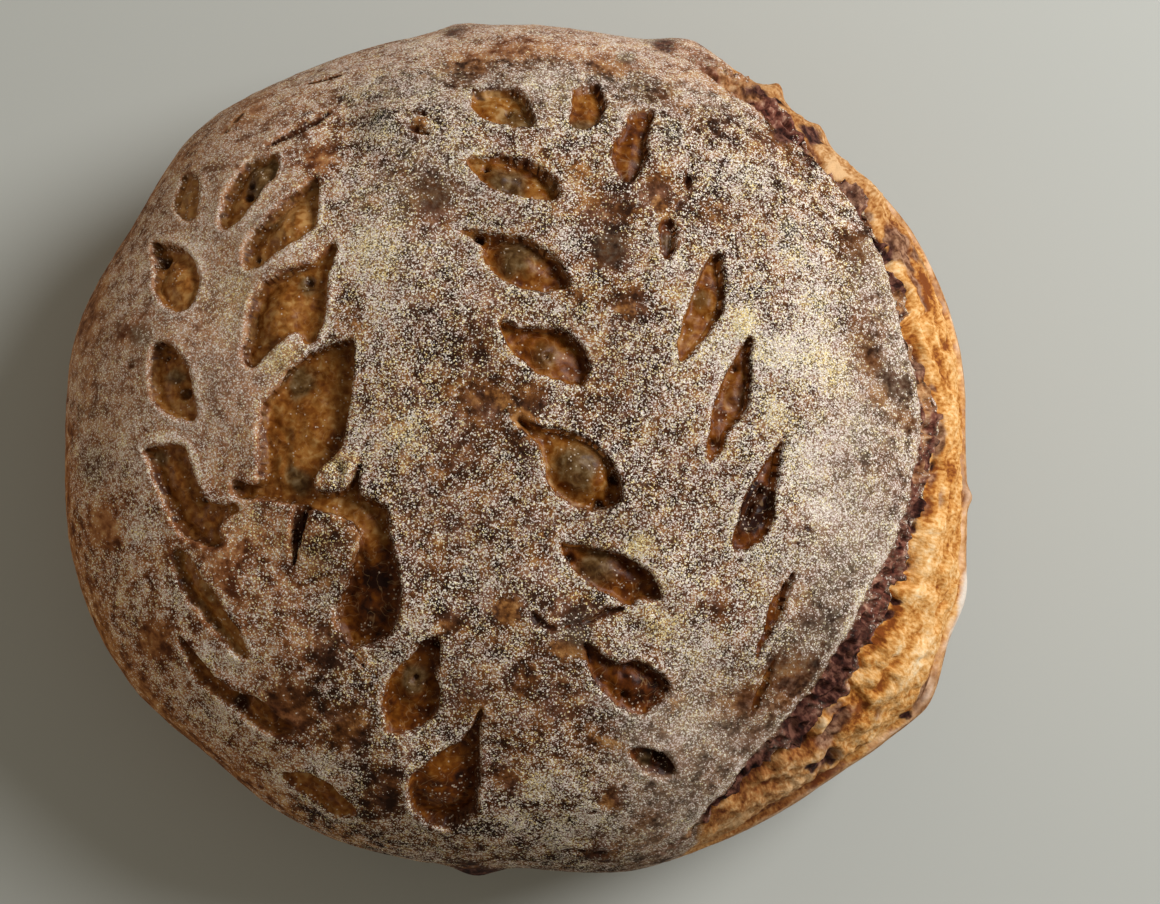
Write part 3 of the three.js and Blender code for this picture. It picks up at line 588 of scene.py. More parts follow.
def rim_bump(angle, height):
    """How far the knobs of the rim stand out."""
    out = 0
    for middle, level, amount, spread, tall in RIM_BUMPS:
        aside = signed_degrees(angle - math.radians(middle)) / spread
        above = (height - level) / tall
        out = out + amount * np.exp(-aside * aside - above * above)
    return out


def burst_strength(angle):
    """1 along the burst and 0 off it, fading at its ends."""
    degrees = signed_degrees(angle)
    rise = smooth_step(BURST_START, BURST_START + BURST_FADE, degrees)
    fall = smooth_step(BURST_END - BURST_FADE, BURST_END, degrees)
    return rise * (1 - fall)


def lip_radius(angle):
    """Radius where the crown ends: the torn lip over the burst, near the waist elsewhere."""
    degrees = signed_degrees(angle)
    stops = np.array([stop[0] for stop in LIP_LINE], float)
    radii = np.array([stop[1] for stop in LIP_LINE], float)
    last = len(stops) - 1
    index = np.clip(np.searchsorted(stops, degrees) - 1, 0, last - 1)
    share = np.clip((degrees - stops[index]) / (stops[index + 1] - stops[index]), 0, 1)
    line = catmull_rom(
        radii[np.maximum(index - 1, 0)],
        radii[index],
        radii[index + 1],
        radii[np.minimum(index + 2, last)],
        share,
    )
    ragged = 0.8 * fractal(polar(angle, RAGGED_RADIUS, 0), 6.0, 301)
    return mix(CROWN_EDGE * waist_radius(angle), line + ragged, burst_strength(angle))


def band_width(angle):
    stops, widths = zip(*BAND_LINE)
    ragged = 1.7 * fractal(polar(angle, RAGGED_RADIUS, 0), 3.4, 311)
    return np.maximum(np.interp(signed_degrees(angle), stops, widths) + ragged, BAND_LEAST)


def swelling_height(x, y):
    height = 0
    for middle_x, middle_y, radius, amount in SWELLINGS:
        height = height + amount * hump(np.hypot(x - middle_x, y - middle_y), 0, radius)
    return height


def crown_height(x, y):
    angle = np.arctan2(y, x)
    share = np.minimum(np.hypot(x, y) / waist_radius(angle), 1)
    rise = (1 - share ** CROWN_EXPONENT) ** (1 / CROWN_EXPONENT)
    calm = np.minimum(1, 4 * (1 - share))
    relief = swelling_height(x, y) + CRUST_SWELL * (waves(x, y, CRUST_WAVE) - 0.6)
    return WAIST_HEIGHT + (LOAF_HEIGHT - WAIST_HEIGHT) * rise + calm * relief


def polar(angle, radius, height):
    return np.stack([radius * np.cos(angle), radius * np.sin(angle), height + 0 * angle], axis=-1)


def crown_point(x, y):
    return np.stack([x, y, crown_height(x, y)], axis=-1)


def lip_height(angle, lip):
    return crown_height(lip * np.cos(angle), lip * np.sin(angle))


# ---------------------------------------------------------------- outlines of the cuts

def smooth_loop(stops, spacing):
    """Points along the closed curve through the stops, slightly ragged."""
    stops = np.array(stops, float)
    ahead = np.roll(stops, -1, axis=0)
    steps = 12
    share = np.linspace(0, 1, steps, endpoint=False)[:, None]
    curve = np.concatenate([
        catmull_rom(stops[i - 1], stops[i], ahead[i], ahead[(i + 1) % len(stops)], share)
        for i in range(len(stops))
    ])
    closed = np.concatenate([curve, curve[:1]])
    place = np.concatenate([[0], np.cumsum(np.hypot(*np.diff(closed, axis=0).T))])
    count = max(int(place[-1] / spacing), 8)
    even = np.linspace(0, place[-1], count, endpoint=False)
    loop = np.stack([np.interp(even, place, closed[:, axis]) for axis in (0, 1)], axis=1)
    flat = np.concatenate([loop, np.zeros((count, 1))], axis=1)
    ragged = 0.34 * value_noise(flat, 1.9, 321) + 0.3 * value_noise(flat, 4.3, 331)
    return loop + loop_normals(loop) * ragged[:, None]


def loop_normals(loop):
    """Outward directions across a loop."""
    run = np.roll(loop, -1, axis=0) - np.roll(loop, 1, axis=0)
    across = np.stack([run[:, 1], -run[:, 0]], axis=1)
    across /= np.maximum(np.hypot(*across.T), 1e-9)[:, None]
    ahead = np.roll(loop, -1, axis=0)
    turning = np.sum(loop[:, 0] * ahead[:, 1] - ahead[:, 0] * loop[:, 1])
    return across * np.sign(turning)


CUT_LOOPS = [(cut, smooth_loop(cut.outline, 0.85 * FINE_SPACING)) for cut in CUTS]


def loop_distance(loop, points):
    """Distance from a loop in plan, negative inside it."""
    px, py = points.T
    best = np.full(len(points), np.inf)
    inside = np.zeros(len(points), bool)
    for (ax, ay), (bx, by) in zip(loop, np.roll(loop, -1, axis=0)):
        run_x, run_y = bx - ax, by - ay
        share = ((px - ax) * run_x + (py - ay) * run_y) / (run_x * run_x + run_y * run_y)
        share = np.clip(share, 0, 1)
        best = np.minimum(best, np.hypot(px - ax - share * run_x, py - ay - share * run_y))
        crosses = (ay > py) != (by > py)
        crossing = ax + run_x * (py - ay) / (run_y if run_y else 1.0)
        inside ^= crosses & (px < crossing)
    return np.where(inside, -best, best)


def cut_fields(points):
    """Each cut with the points near it, their distances from it and places towards its dark side."""
    fields = []
    for cut, loop in CUT_LOOPS:
        low, high = loop.min(axis=0) - CUT_REACH, loop.max(axis=0) + CUT_REACH
        near = np.flatnonzero(np.all((points > low) & (points < high), axis=1))
        if len(near) == 0:
            continue
        distance = loop_distance(loop, points[near])
        side = np.full(len(near), EVEN_SIDE)
        if cut.dark is not None:
            turn = math.radians(cut.dark)
            heading = np.array([math.cos(turn), math.sin(turn)])
            along = loop @ heading
            middle, half = (along.max() + along.min()) / 2, (along.max() - along.min()) / 2
            side = np.clip((points[near] @ heading - middle) / half, -1, 1)
        fields.append((cut, near, distance, side))
    return fields


# ---------------------------------------------------------------- mesh of the loaf

def thin_out(points, spacing, keep_first=0):
    """Drops each point that lies closer than the spacing to one kept before it."""
    cells = {}
    kept = []
    for index, (x, y) in enumerate(points):
        cx, cy = int(math.floor(x / spacing)), int(math.floor(y / spacing))
        near = (
            (x - ox) ** 2 + (y - oy) ** 2 < spacing * spacing
            for ax in (-1, 0, 1)
            for ay in (-1, 0, 1)
            for ox, oy in cells.get((cx + ax, cy + ay), ())
        )
        if index < keep_first or not any(near):
            cells.setdefault((cx, cy), []).append((x, y))
            kept.append(index)
    return points[kept]


def stretch(share):
    """How much the plan is stretched for meshing, as the crown is steep towards the waist."""
    return 1 + 0.16 * share ** 6


def unroll(x, y):
    """The plan place after stretching."""
    stretched = stretch(np.hypot(x, y) / waist_radius(np.arctan2(y, x)))
    return x * stretched, y * stretched


def roll_back(x, y):
    """The plan point that unrolls to this one."""
    angle = np.arctan2(y, x)
    reach = np.hypot(x, y) / waist_radius(angle)
    share = reach
    for _ in range(4):
        share = reach / stretch(share)
    return polar(angle, share * waist_radius(angle), 0)[:, :2]


def grid_points(spacing):
    """A triangular grid over the crown, even on its curved surface."""
    columns = np.arange(-GRID_REACH, GRID_REACH, spacing)
    rows = np.arange(-GRID_REACH, GRID_REACH, spacing * math.sqrt(3) / 2)
    x, y = np.meshgrid(columns, rows)
    x = x + (np.arange(len(rows)) % 2)[:, None] * spacing / 2
    grid = roll_back(x.ravel(), y.ravel())
    return grid[within_lip(grid, spacing)]


def within_lip(points, spacing):
    """Which plan points lie inside the crown's edge, clear of its own points."""
    angle = np.arctan2(points[:, 1], points[:, 0])
    return np.hypot(*points.T) < lip_radius(angle) - 0.6 * spacing


def cut_lines():
    """Mesh points along every cut's edge, outside it and at the foot of its wall."""
    lines = []
    for _, loop in CUT_LOOPS:
        lines.append(loop)
        for offset in (RIM_WIDTH, -WALL_WIDTH):
            line = loop + loop_normals(loop) * offset
            lines.append(line[np.abs(loop_distance(loop, line) - offset) < 0.2])
    lines = np.concatenate(lines)
    return lines[within_lip(lines, FINE_SPACING)]


def ring_turns():
    """Angles round the loaf, closer together along the burst."""
    degrees = np.concatenate([
        np.linspace(RING_START, -RING_START, BURST_TURNS, endpoint=False),
        np.linspace(-RING_START, RING_START + 360, OTHER_TURNS, endpoint=False),
    ])
    return np.radians(degrees)


def cut_gaps(points):
    """Each point's distance from the nearest cut and from the nearest of its mesh lines."""
    nearest = np.full(len(points), np.inf)
    line_gap = np.full(len(points), np.inf)
    for _, near, distance, _ in cut_fields(points):
        gap = np.min([np.abs(distance - line) for line in (0, RIM_WIDTH, -WALL_WIDTH)], axis=0)
        line_gap[near] = np.minimum(line_gap[near], gap)
        nearest[near] = np.minimum(nearest[near], distance)
    return nearest, line_gap


def crown_plan(turn):
    """Plan points of the crown, its edge first: finely spaced in and near the cuts."""
    edge = polar(turn, lip_radius(turn), 0)[:, :2]
    lines = thin_out(np.concatenate([edge, cut_lines()]), 0.55 * FINE_SPACING, len(edge))
    coarse = grid_points(SPACING)
    nearest, _ = cut_gaps(coarse)
    coarse = coarse[nearest > FINE_MARGIN + 0.35 * SPACING]
    fine = grid_points(FINE_SPACING)
    nearest, line_gap = cut_gaps(fine)
    fine = fine[(nearest < FINE_MARGIN) & (line_gap > 0.45 * FINE_SPACING)]
    return np.concatenate([lines, coarse, fine])


def triangulate(plan, edge_count):
    """Triangles over the crown's plan points, the first of which are its edge."""
    flat = np.stack(unroll(*plan.T), axis=1)
    ring = [(i, (i + 1) % edge_count) for i in range(edge_count)]
    points, _, faces, _, _, _ = geometry.delaunay_2d_cdt(
        [Vector(point) for point in flat], ring, [], 1, MERGE_GAP
    )
    if len(points) != len(plan):
        raise ValueError("the crown's points changed in triangulation")
    return [tuple(face) for face in faces if len(face) == 3]


def stitch(inner, outer, inner_turn, outer_turn):
    """Triangles between two rings of points, each given by index and angle."""
    triangles = []
    i = j = 0
    count_in, count_out = len(inner), len(outer)
    while i < count_in or j < count_out:
        next_in = inner_turn[i + 1] if i + 1 < count_in else inner_turn[0] + 2 * math.pi
        next_out = outer_turn[j + 1] if j + 1 < count_out else outer_turn[0] + 2 * math.pi
        a, b = inner[i % count_in], outer[j % count_out]
        if j >= count_out or (i < count_in and next_in < next_out):
            triangles.append((a, b, inner[(i + 1) % count_in]))
            i += 1
        else:
            triangles.append((a, b, outer[(j + 1) % count_out]))
            j += 1
    return triangles


def shoulder_point(angle, share):
    """A place between the crown's edge and the waist, share 0 to 1."""
    lip = lip_radius(angle)
    radius = mix(lip, waist_radius(angle), 1 - (1 - share) ** 2)
    whole = crown_point(radius * np.cos(angle), radius * np.sin(angle))
    torn_point = band_point if share < LEDGE_SHARE else crumb_point
    return mix(whole, torn_point(angle, share), burst_strength(angle)[:, None])


def band_drop(band):
    return LIP_STEP + BAND_SLOPE * (band - LIP_OUT)


def band_point(angle, share):
    """A place on the step under the lip, on the torn band or on the ledge at its foot."""
    lip, band = lip_radius(angle), band_width(angle)
    if share < LIP_SHARE:
        stops = (0, 0.02, LIP_SHARE)
        out = np.interp(share, stops, (0, 0.7, LIP_OUT))
        drop = np.interp(share, stops, (0, 0.5, LIP_STEP))
    elif share < BAND_SHARE:
        along = (share - LIP_SHARE) / (BAND_SHARE - LIP_SHARE)
        out, drop = mix(LIP_OUT, band, along), mix(LIP_STEP, band_drop(band), along)
    else:
        along = (share - BAND_SHARE) / (LEDGE_SHARE - BAND_SHARE)
        out, drop = band - LEDGE_UNDERCUT * along, band_drop(band) + LEDGE_DROP * along
    return polar(angle, lip + out, lip_height(angle, lip) - drop)


def crumb_point(angle, share):
    """A place on the bulging crumb, between the ledge and the waist."""
    waist, lip, band = waist_radius(angle), lip_radius(angle), band_width(angle)
    turn = (share - LEDGE_SHARE) / (1 - LEDGE_SHARE) * math.pi / 2
    outward = math.sin(turn) ** (2 / BURST_EXPONENT)
    upward = max(math.cos(turn), 0) ** (2 / BURST_EXPONENT)
    inset = RIM_LEDGE * (1 - smooth_step(0.925, 0.96, share))
    inset += RIM_EDGE * (1 - smooth_step(0.965, 1, share))
    inset = inset * np.clip((waist - lip - band) / 16, 0.4, 1)
    top = lip_height(angle, lip) - band_drop(band) - LEDGE_DROP
    return polar(
        angle,
        mix(lip + band - LEDGE_UNDERCUT, waist - inset, outward),
        mix(WAIST_HEIGHT, top, upward) + RIM_RISE * hump(share, 0.962, 0.02),
    )


def side_point(angle, share):
    turn = share * math.pi / 2
    return polar(
        angle,
        waist_radius(angle) - FOOT_INSET * (1 - math.cos(turn)),
        WAIST_HEIGHT * (1 - math.sin(turn)),
    )


def rings(turn):
    """The rings of points below the crown: kind, share of the way along it, and angles."""
    for step in range(1, SHOULDER_RINGS + 1):
        yield SHOULDER, step / SHOULDER_RINGS, turn
    for step in range(1, SIDE_RINGS + 1):
        count = int(mix(len(turn), SIDE_TURNS, step / SIDE_RINGS))
        yield SIDE, step / SIDE_RINGS, even_turns(count)
    for step in range(1, BASE_RINGS + 1):
        share = step / (BASE_RINGS + 1)
        count = max(int(SIDE_TURNS * (1 - share)), BASE_LEAST_TURNS)
        yield BASE, share, even_turns(count)


def base_point(angle, share):
    return polar(angle, (waist_radius(angle) - FOOT_INSET) * (1 - share), 0)


def loaf_mesh():
    """Every point of the loaf before relief, its triangles and what lies where."""
    place_on = {SHOULDER: shoulder_point, SIDE: side_point, BASE: base_point}
    turn = ring_turns()
    plan = crown_plan(turn)
    triangles = triangulate(plan, len(turn))
    parts = [(crown_point(*plan.T), CROWN, 0.0)]
    ring = list(range(len(turn)))
    total = len(plan)
    for kind, share, new_turn in rings(turn):
        new_ring = list(range(total, total + len(new_turn)))
        triangles += stitch(ring, new_ring, turn, new_turn)
        parts.append((place_on[kind](new_turn, share), kind, share))
        ring, turn, total = new_ring, new_turn, total + len(new_turn)
    parts.append((np.zeros((1, 3)), BASE, 1.0))
    triangles += [(total, ring[(i + 1) % len(ring)], ring[i]) for i in range(len(ring))]
    points, kinds, shares = zip(*parts)
    counts = [len(part) for part in points]
    return (
        np.concatenate(points), np.array(triangles), np.repeat(kinds, counts),
        np.repeat(shares, counts),
    )


def even_turns(count):
    start = math.radians(RING_START)
    return np.linspace(start, start + 2 * math.pi, count, endpoint=False)


def point_normals(points, triangles):
    corners = points[triangles]
    across = np.cross(corners[:, 1] - corners[:, 0], corners[:, 2] - corners[:, 0])
    normals = np.zeros_like(points)
    for corner in range(3):
        np.add.at(normals, triangles[:, corner], across)
    return normals / np.maximum(np.linalg.norm(normals, axis=1, keepdims=True), 1e-12)


# ---------------------------------------------------------------- where each point lies

class Surface:
    """The points of the loaf, and where each lies on it."""

    def __init__(self, points, kinds, shares):
        self.points, self.kinds, self.shares = points, kinds, shares
        self.x, self.y, self.z = points.T
        self.angle = np.arctan2(self.y, self.x)
        self.degrees = signed_degrees(self.angle)
        self.radius = np.hypot(self.x, self.y)
        waist = waist_radius(self.angle)
        self.reach = self.radius / waist  # share of the way out to the waist
        self.on_crown = kinds == CROWN
        self.on_shoulder = kinds == SHOULDER
        self.lip = lip_radius(self.angle)
        self.band = band_width(self.angle)
        self.gap = self.radius - self.lip - self.band  # how far out from the band's foot
        self.crumb_width = np.maximum(waist - self.lip - self.band, 1)
        self.strength = burst_strength(self.angle)
        # The burst's ends taper towards its foot, and are ragged.
        self.ragged = fractal(points, 9.0, 533, 3)
        turned = self.angle * (1 + BURST_TAPER * (1 - shares)) + BURST_TAPER * self.ragged
        self.tapered = burst_strength(turned)


# ---------------------------------------------------------------- patches

def wander(points, seed, reach):
    """Plan places moved about by noise, so that patches get uneven outlines."""
    return points[:, :2] + reach * np.stack(
        [fractal(points, 6.0, seed), fractal(points, 6.0, seed + 50)], axis=1
    )


def height_gaps(points, places):
    """How far each point lies above or below the upper surface at each place in plan."""
    upper = points[points[:, 2] > WAIST_HEIGHT - 0.5]
    for x, y in places:
        nearest = np.argmin(np.hypot(upper[:, 0] - x, upper[:, 1] - y))
        yield STEEP_SHARE * np.maximum(np.abs(points[:, 2] - upper[nearest, 2]) - HEIGHT_SLACK, 0)


def patch_mask(points, patches, seed, reach=2.0):
    bent = wander(points, seed, reach)
    total = np.zeros(len(points))
    gaps = height_gaps(points, [patch[:2] for patch in patches])
    for (x, y, radius, amount), gap in zip(patches, gaps):
        aside = np.hypot(bent[:, 0] - x, bent[:, 1] - y)
        total += amount * np.exp(-(np.hypot(aside, gap) / radius) ** 3)
    return total


def streak_mask(points, streaks, seed):
    bent = wander(points, seed, 2.0)
    total = np.zeros(len(points))
    for start, end, radius, amount in streaks:
        run = np.subtract(end, start)
        share = np.clip((bent - start) @ run / (run @ run), 0, 1)
        distance = np.hypot(*(bent - start - np.outer(share, run)).T) / radius
        total = np.maximum(total, amount * np.exp(-distance ** 3))
    return total


def mark_mask(surface, marks, seed):
    """Marks on the burst's band and crumb."""
    points = surface.points
    bend = 1.2 * fractal(points, 4.0, seed, 2)
    sway = 1.6 * fractal(points, 4.0, seed + 9, 2)
    total = np.zeros(len(points))
    turns = np.radians([mark[0] for mark in marks])
    outs = np.array([mark[1] for mark in marks])
    foot = lip_radius(turns) + band_width(turns)
    room = np.where(outs > 0, waist_radius(turns) - foot, band_width(turns))
    places = polar(turns, foot + outs * room, 0)[:, :2]
    for (degrees, out, length, width, amount), height_gap in zip(marks, height_gaps(points, places)):
        along = np.radians(signed_degrees(surface.angle - math.radians(degrees))) * MARK_ARC + sway
        across = surface.gap - out * (surface.crumb_width if out > 0 else surface.band) + bend
        distance = np.hypot(along / length, np.hypot(across, height_gap) / width)
        total += amount * np.exp(-distance ** 3)
    return total


# ---------------------------------------------------------------- relief

def sculpt(points, triangles, kinds, shares):
    """Adds the relief and returns the finished points with the masks the material reads."""
    surface = Surface(points, kinds, shares)
    cuts = cut_masks(surface)
    pits = patch_mask(points, PITS, 401, 0.2) * surface.on_crown
    marks = {name: mark_mask(surface, rows, seed) for name, (rows, seed) in BURST_MARKS.items()}
    crumb_relief, soft, fibre_way = crumb_form(surface, marks)
    burst = burst_masks(surface, marks, soft)
    crags = 1.2 * ridges(points, 3.4, 561) + 0.8 * fractal(points, 1.7, 571, 2) - 0.4
    relief = mix(crust_relief(surface, cuts, pits), crumb_relief, burst["crumb"])
    relief = mix(relief, crags, burst["band"])

    moved = points + point_normals(points, triangles) * relief[:, None]
    knobs = ~surface.on_crown * rim_bump(surface.angle, surface.z)
    moved = moved + polar(surface.angle, 1.0, 0) * knobs[:, None]
    moved[:, 2] = np.maximum(moved[:, 2], 0)
    return moved, material_masks(surface, cuts, pits, burst), fibre_way


def material_masks(surface, cuts, pits, burst):
    """Every mask that the material reads, by name."""
    points = surface.points
    spots = patch_mask(points, CHAR_SPOTS, 5)
    lip_line = lip_line_mask(surface)
    dust = 0.06 - 0.2 * smooth_step(-26, -46, surface.degrees) + 0.25 * fractal(points, 5.0, 581, 2)
    flour = mix(flour_mask(surface, cuts), dust, burst["band"]) + 0.4 * lip_line
    return {
        **burst,
        **foot_masks(surface),
        "dark": burst["dark"] + spots,
        "white": burst["white"] + 0.42 * lip_line,
        "flour": np.clip(flour - 0.4 * spots, 0, 1.3),
        "bare": bare_mask(surface),
        "grey": patch_mask(points, GREY_PATCHES, 9),
        "yellow": patch_mask(points, YELLOW_PATCHES, 21),
        "cut": cuts["cut"],
        "tone": cuts["tone"],
        # Walls of the cuts and the pits: toasted edges and painted shade.
        "wall": np.clip(cuts["wall"] + 0.8 * np.clip(pits, 0, 1), 0, 1),
        "olive": patch_mask(points, OLIVE_PATCHES, 13) * cuts["cut"],
        "tan": tan_mask(surface),
        "soft": soft_mask(surface),
        "patchy": mix(0.42, 1.15, smooth_step(0.5, 0.85, surface.reach)),
        "under": (surface.kinds == BASE) * 1.0,
    }


def crust_relief(surface, cuts, pits):
    """Lumps and grain of the crust, with the cuts, their floors and scraps of dough."""
    points, kinds = surface.points, surface.kinds
    lumps = fractal(points, 9.0, 3)
    bumps = fractal(points, 3.2, 11, 2)
    grain = value_noise(points, 1.3, 29)
    below = np.where(kinds == SIDE, smooth_step(0, 0.4, surface.shares), kinds == BASE)
    relief = mix(0.28 * lumps + 0.16 * bumps + 0.06 * grain, 0.6 * lumps + 0.2 * bumps, below)
    relief = np.where(kinds == BASE, 0, relief)
    skin = 0.30 * ridges(points, 3.6, 41) + 0.3 * fractal(points, 2.0, 43, 2) + 0.08 * grain
    relief = mix(relief, skin, cuts["cut"])
    bulges = patch_mask(points, FLOOR_BULGES, 405, 0.6) * surface.on_crown * cuts["cut"]
    relief = relief + 0.3 * cuts["rim"] - cuts["depth"] + bulges - pits
    clump = patch_mask(points, CLUMPS, 409) * surface.on_crown * (1 - cuts["cut"])
    return relief + clump * (0.6 + 2.0 * fractal(points, 2.2, 411, 2))


def crumb_form(surface, marks):
    """Relief of the crumb, how far its swellings stand out, and the way that its fibres run."""
    along = surface.angle * FIBRE_ARC
    below_lip = lip_height(surface.angle, surface.lip) - surface.z
    slope_run = surface.gap + 0.65 * below_lip
    fibre_way = np.stack([along, 0.42 * slope_run, 0 * along], axis=1)
    folds = ridges(np.stack([along / 2.6, 0.8 * slope_run, 0 * along], axis=1), 5.0, 531)
    pillows = fractal(surface.points, 5.0, 541, 3)
    torn = smooth_step(-24, -38, surface.degrees) * (1 - smooth_step(-52, -64, surface.degrees))
    soft = mix(0.45, 0.1, torn) * folds + 0.8 * pillows + 0.4 * fractal(fibre_way, 2.0, 551, 2)
    soft = soft * (1 + 0.9 * torn)
    holes = 1.3 * np.clip(marks["dark"], 0, 1) + 0.6 * marks["amber"] + 0.5 * marks["purple"]
    calm = smooth_step(0.84, 0.92, surface.shares)
    relief = mix(soft - holes + 0.5 * marks["cream"], 0.2 * pillows - 0.2, calm)
    return relief, soft, fibre_way


def burst_masks(surface, marks, soft):
    """Where the burst's band and crumb are, with their marks."""
    shares, degrees = surface.shares, surface.degrees
    band = np.where(surface.on_shoulder, surface.strength, 0) * smooth_step(0.03, 0.06, shares)
    band = band * (shares < BAND_SHARE + 0.02)
    crumb = np.where(surface.on_shoulder, surface.tapered, 0)
    crumb = crumb * smooth_step(BAND_SHARE, LEDGE_SHARE, shares)
    torn_here = np.maximum(crumb, band)
    return {
        "crumb": crumb,
        "band": band,
        "dark": np.clip(marks["dark"], 0, 1.4) * torn_here,
        "purple": marks["purple"] * torn_here,
        # Painted shade makes the crumb amber in its hollows; painted light makes it cream on its
        # swellings.
        "amber": marks["amber"] * torn_here + 0.4 * np.clip(-soft - 0.25, 0, 1) * crumb,
        "cream": marks["cream"] * torn_here + 0.4 * np.clip(soft - 0.2, 0, 1) * crumb,
        "white": np.clip(marks["white"], 0, 1) * surface.on_shoulder,
        "dull": crumb * (smooth_step(-36, -52, degrees) + smooth_step(18, 42, degrees)),
    }


def foot_masks(surface):
    """The browned edge at the burst's foot and the pale line above it."""
    shares, on_shoulder = surface.shares, surface.on_shoulder
    foot_line = shares + 0.05 * surface.ragged
    edge = np.where(on_shoulder, surface.tapered, 0) * smooth_step(0.945, 0.985, foot_line)
    fading = 1 - smooth_step(0.05, 0.34, shares + 0.22 * fractal(surface.points, 7.0, 537, 3))
    edge = np.maximum(edge, np.where(surface.kinds == SIDE, surface.strength * fading, 0))
    pale = np.where(on_shoulder, surface.tapered, 0) * smooth_step(0.925, 0.95, foot_line)
    pale = pale * (1 - edge) * np.clip((surface.crumb_width - 8) / 10, 0.2, 1)
    low_end = smooth_step(-38, -48, surface.degrees)
    low_pale = surface.tapered * on_shoulder * hump(foot_line, 0.985, 0.014)
    return {"edge": edge * (1 - 0.75 * low_end), "pale": mix(pale, low_pale, low_end)}


def lip_line_mask(surface):
    """The thin floury line along the torn lip."""
    line = surface.strength * hump(surface.radius, surface.lip - 0.3, 0.75)
    line = line * (surface.on_crown | (surface.shares < 0.03))
    return line * mix(0.35, 1, smooth_step(-8, -16, surface.degrees))


def cut_masks(surface):
    """Depth of the cuts and what their floors, walls and rims look like, with painted shade on their
    dark sides and painted light on the rims opposite.
    """
    names = ("depth", "cut", "tone", "wall", "rim", "lit")
    masks = {name: np.zeros(len(surface.points)) for name in names}

    def raise_to(name, near, value):
        value = np.where(surface.on_crown[near], value, 0)
        masks[name][near] = np.maximum(masks[name][near], value)

    for cut, near, distance, side in cut_fields(surface.points[:, :2]):
        widest = max(-distance.min(), WALL_WIDTH + 0.1)
        fall = smooth_step(0.1, -WALL_WIDTH, distance)
        bowl = 1 - 0.22 * smooth_step(-WALL_WIDTH, -widest, distance)
        raise_to("depth", near, cut.deep * fall * bowl * (0.72 + 0.28 * side))
        raise_to("cut", near, smooth_step(0.15, -0.3, distance))
        raise_to("tone", near, cut.tone * (distance < 0.5))
        # A toasted edge line round the cut, stronger on its dark side, and painted shade reaching
        # from that side into the floor.
        brink = hump(distance, -0.3, 0.85) * mix(0.55, 1, smooth_step(-0.4, 0.5, side))
        shade = 0.38 * smooth_step(-2.8, -0.5, distance) * smooth_step(0.15, 0.95, side)
        raise_to("wall", near, np.maximum(brink, shade))
        outside = hump(distance, 0.7, 0.8) * (distance > -0.2)
        raise_to("rim", near, outside)
        # Painted light: more flour on the rim opposite the dark side.
        raise_to("lit", near, outside * smooth_step(0.3, -0.5, side))
    masks["tone"] -= patch_mask(surface.points, DARK_FLOORS, 17)
    return masks


def flour_mask(surface, cuts):
    """How thickly flour lies: heavy on the crown's right, thin at the foot, none in the cuts."""
    points, kinds = surface.points, surface.kinds
    level = 0.425 + 0.07 * smooth_step(10, 60, surface.x)
    level = level + 0.05 * fractal(points, 20.0, 131, 3) + 0.09 * fractal(points, 5.0, 151, 3)
    level = level + patch_mask(points, FLOUR_PATCHES, 3)
    rim = 0.32 + 0.28 * smooth_step(60, 95, surface.y) + 0.22 * fractal(points, 12.0, 171, 3)
    foot = 0.22 + 0.24 * fractal(points, 11.0, 191, 3)
    level = mix(level, rim, smooth_step(0.88, 0.99, surface.reach))
    level = np.where(kinds == SIDE, mix(rim, foot, smooth_step(0, 0.8, surface.shares)), level)
    level = np.where(kinds == BASE, 0.22 + 0.3 * fractal(points, 16.0, 211, 3), level)
    # Painted light: more flour on the cuts' rims opposite their dark sides.
    level = level + 0.04 * cuts["rim"] + 0.25 * cuts["lit"]
    return np.clip(level, 0, 1.3) * (1 - cuts["cut"])


def bare_mask(surface):
    """Orange-brown crust without flour, in patches and round the shoulder."""
    points, kinds = surface.points, surface.kinds
    outer = smooth_step(0.93, 0.985, np.where(kinds <= SHOULDER, surface.reach, 1))
    left = smooth_step(100, 130, np.abs(surface.degrees) + 22 * fractal(points, 34.0, 241, 2))
    far_edge = smooth_step(46, 60, surface.degrees)
    amount = outer * np.maximum(0.85 * left, 0.75 * far_edge)
    amount = amount + np.where(kinds == SIDE, 0.25 * smooth_step(0, 0.5, surface.shares), 0)
    amount = amount + 0.4 * fractal(points, 9.0, 231, 3) * (amount > 0.02)
    amount = amount + patch_mask(points, BARE_PATCHES, 7)
    amount = amount + streak_mask(points, BARE_STREAKS, 19) * smooth_step(28, 46, surface.z)
    return np.clip(amount, 0, 1)


def tan_mask(surface):
    """How lightly the crust under the flour is baked: palest on the upper left shoulder."""
    x, y = surface.x, surface.y
    left = smooth_step(-25, -75, x) * mix(0.7, 1.2, smooth_step(-40, 20, y))
    top = 1.5 * smooth_step(0.82, 0.93, surface.reach)
    top = top * smooth_step(30, 70, y) * smooth_step(80, 40, x)
    return np.clip(np.maximum(left, top) + 0.3 * fractal(surface.points, 8.0, 251, 3), 0, 1.5)


def soft_mask(surface):
    """Where fine dust blurs the grains of flour."""
    x, y = surface.x, surface.y
    left = smooth_step(-38, -70, x) * mix(0.15, 0.8, smooth_step(-35, 20, y))
    right = 0.7 * smooth_step(62, 84, x - 0.25 * y)
    low = 0.95 * smooth_step(-45, -75, y) * smooth_step(10, 35, x)
    top = 0.7 * smooth_step(72, 92, y)
    smudge = 0.5 * hump(np.hypot(x + 27, y - 62), 0, 20)
    return np.max([left, right, low, top, smudge], axis=0)


def place(points):
    """Millimetres in the drawing's frame to metres in the part's."""
    return (points - np.array([*PLAN_MIDDLE, 0.0])) * MM


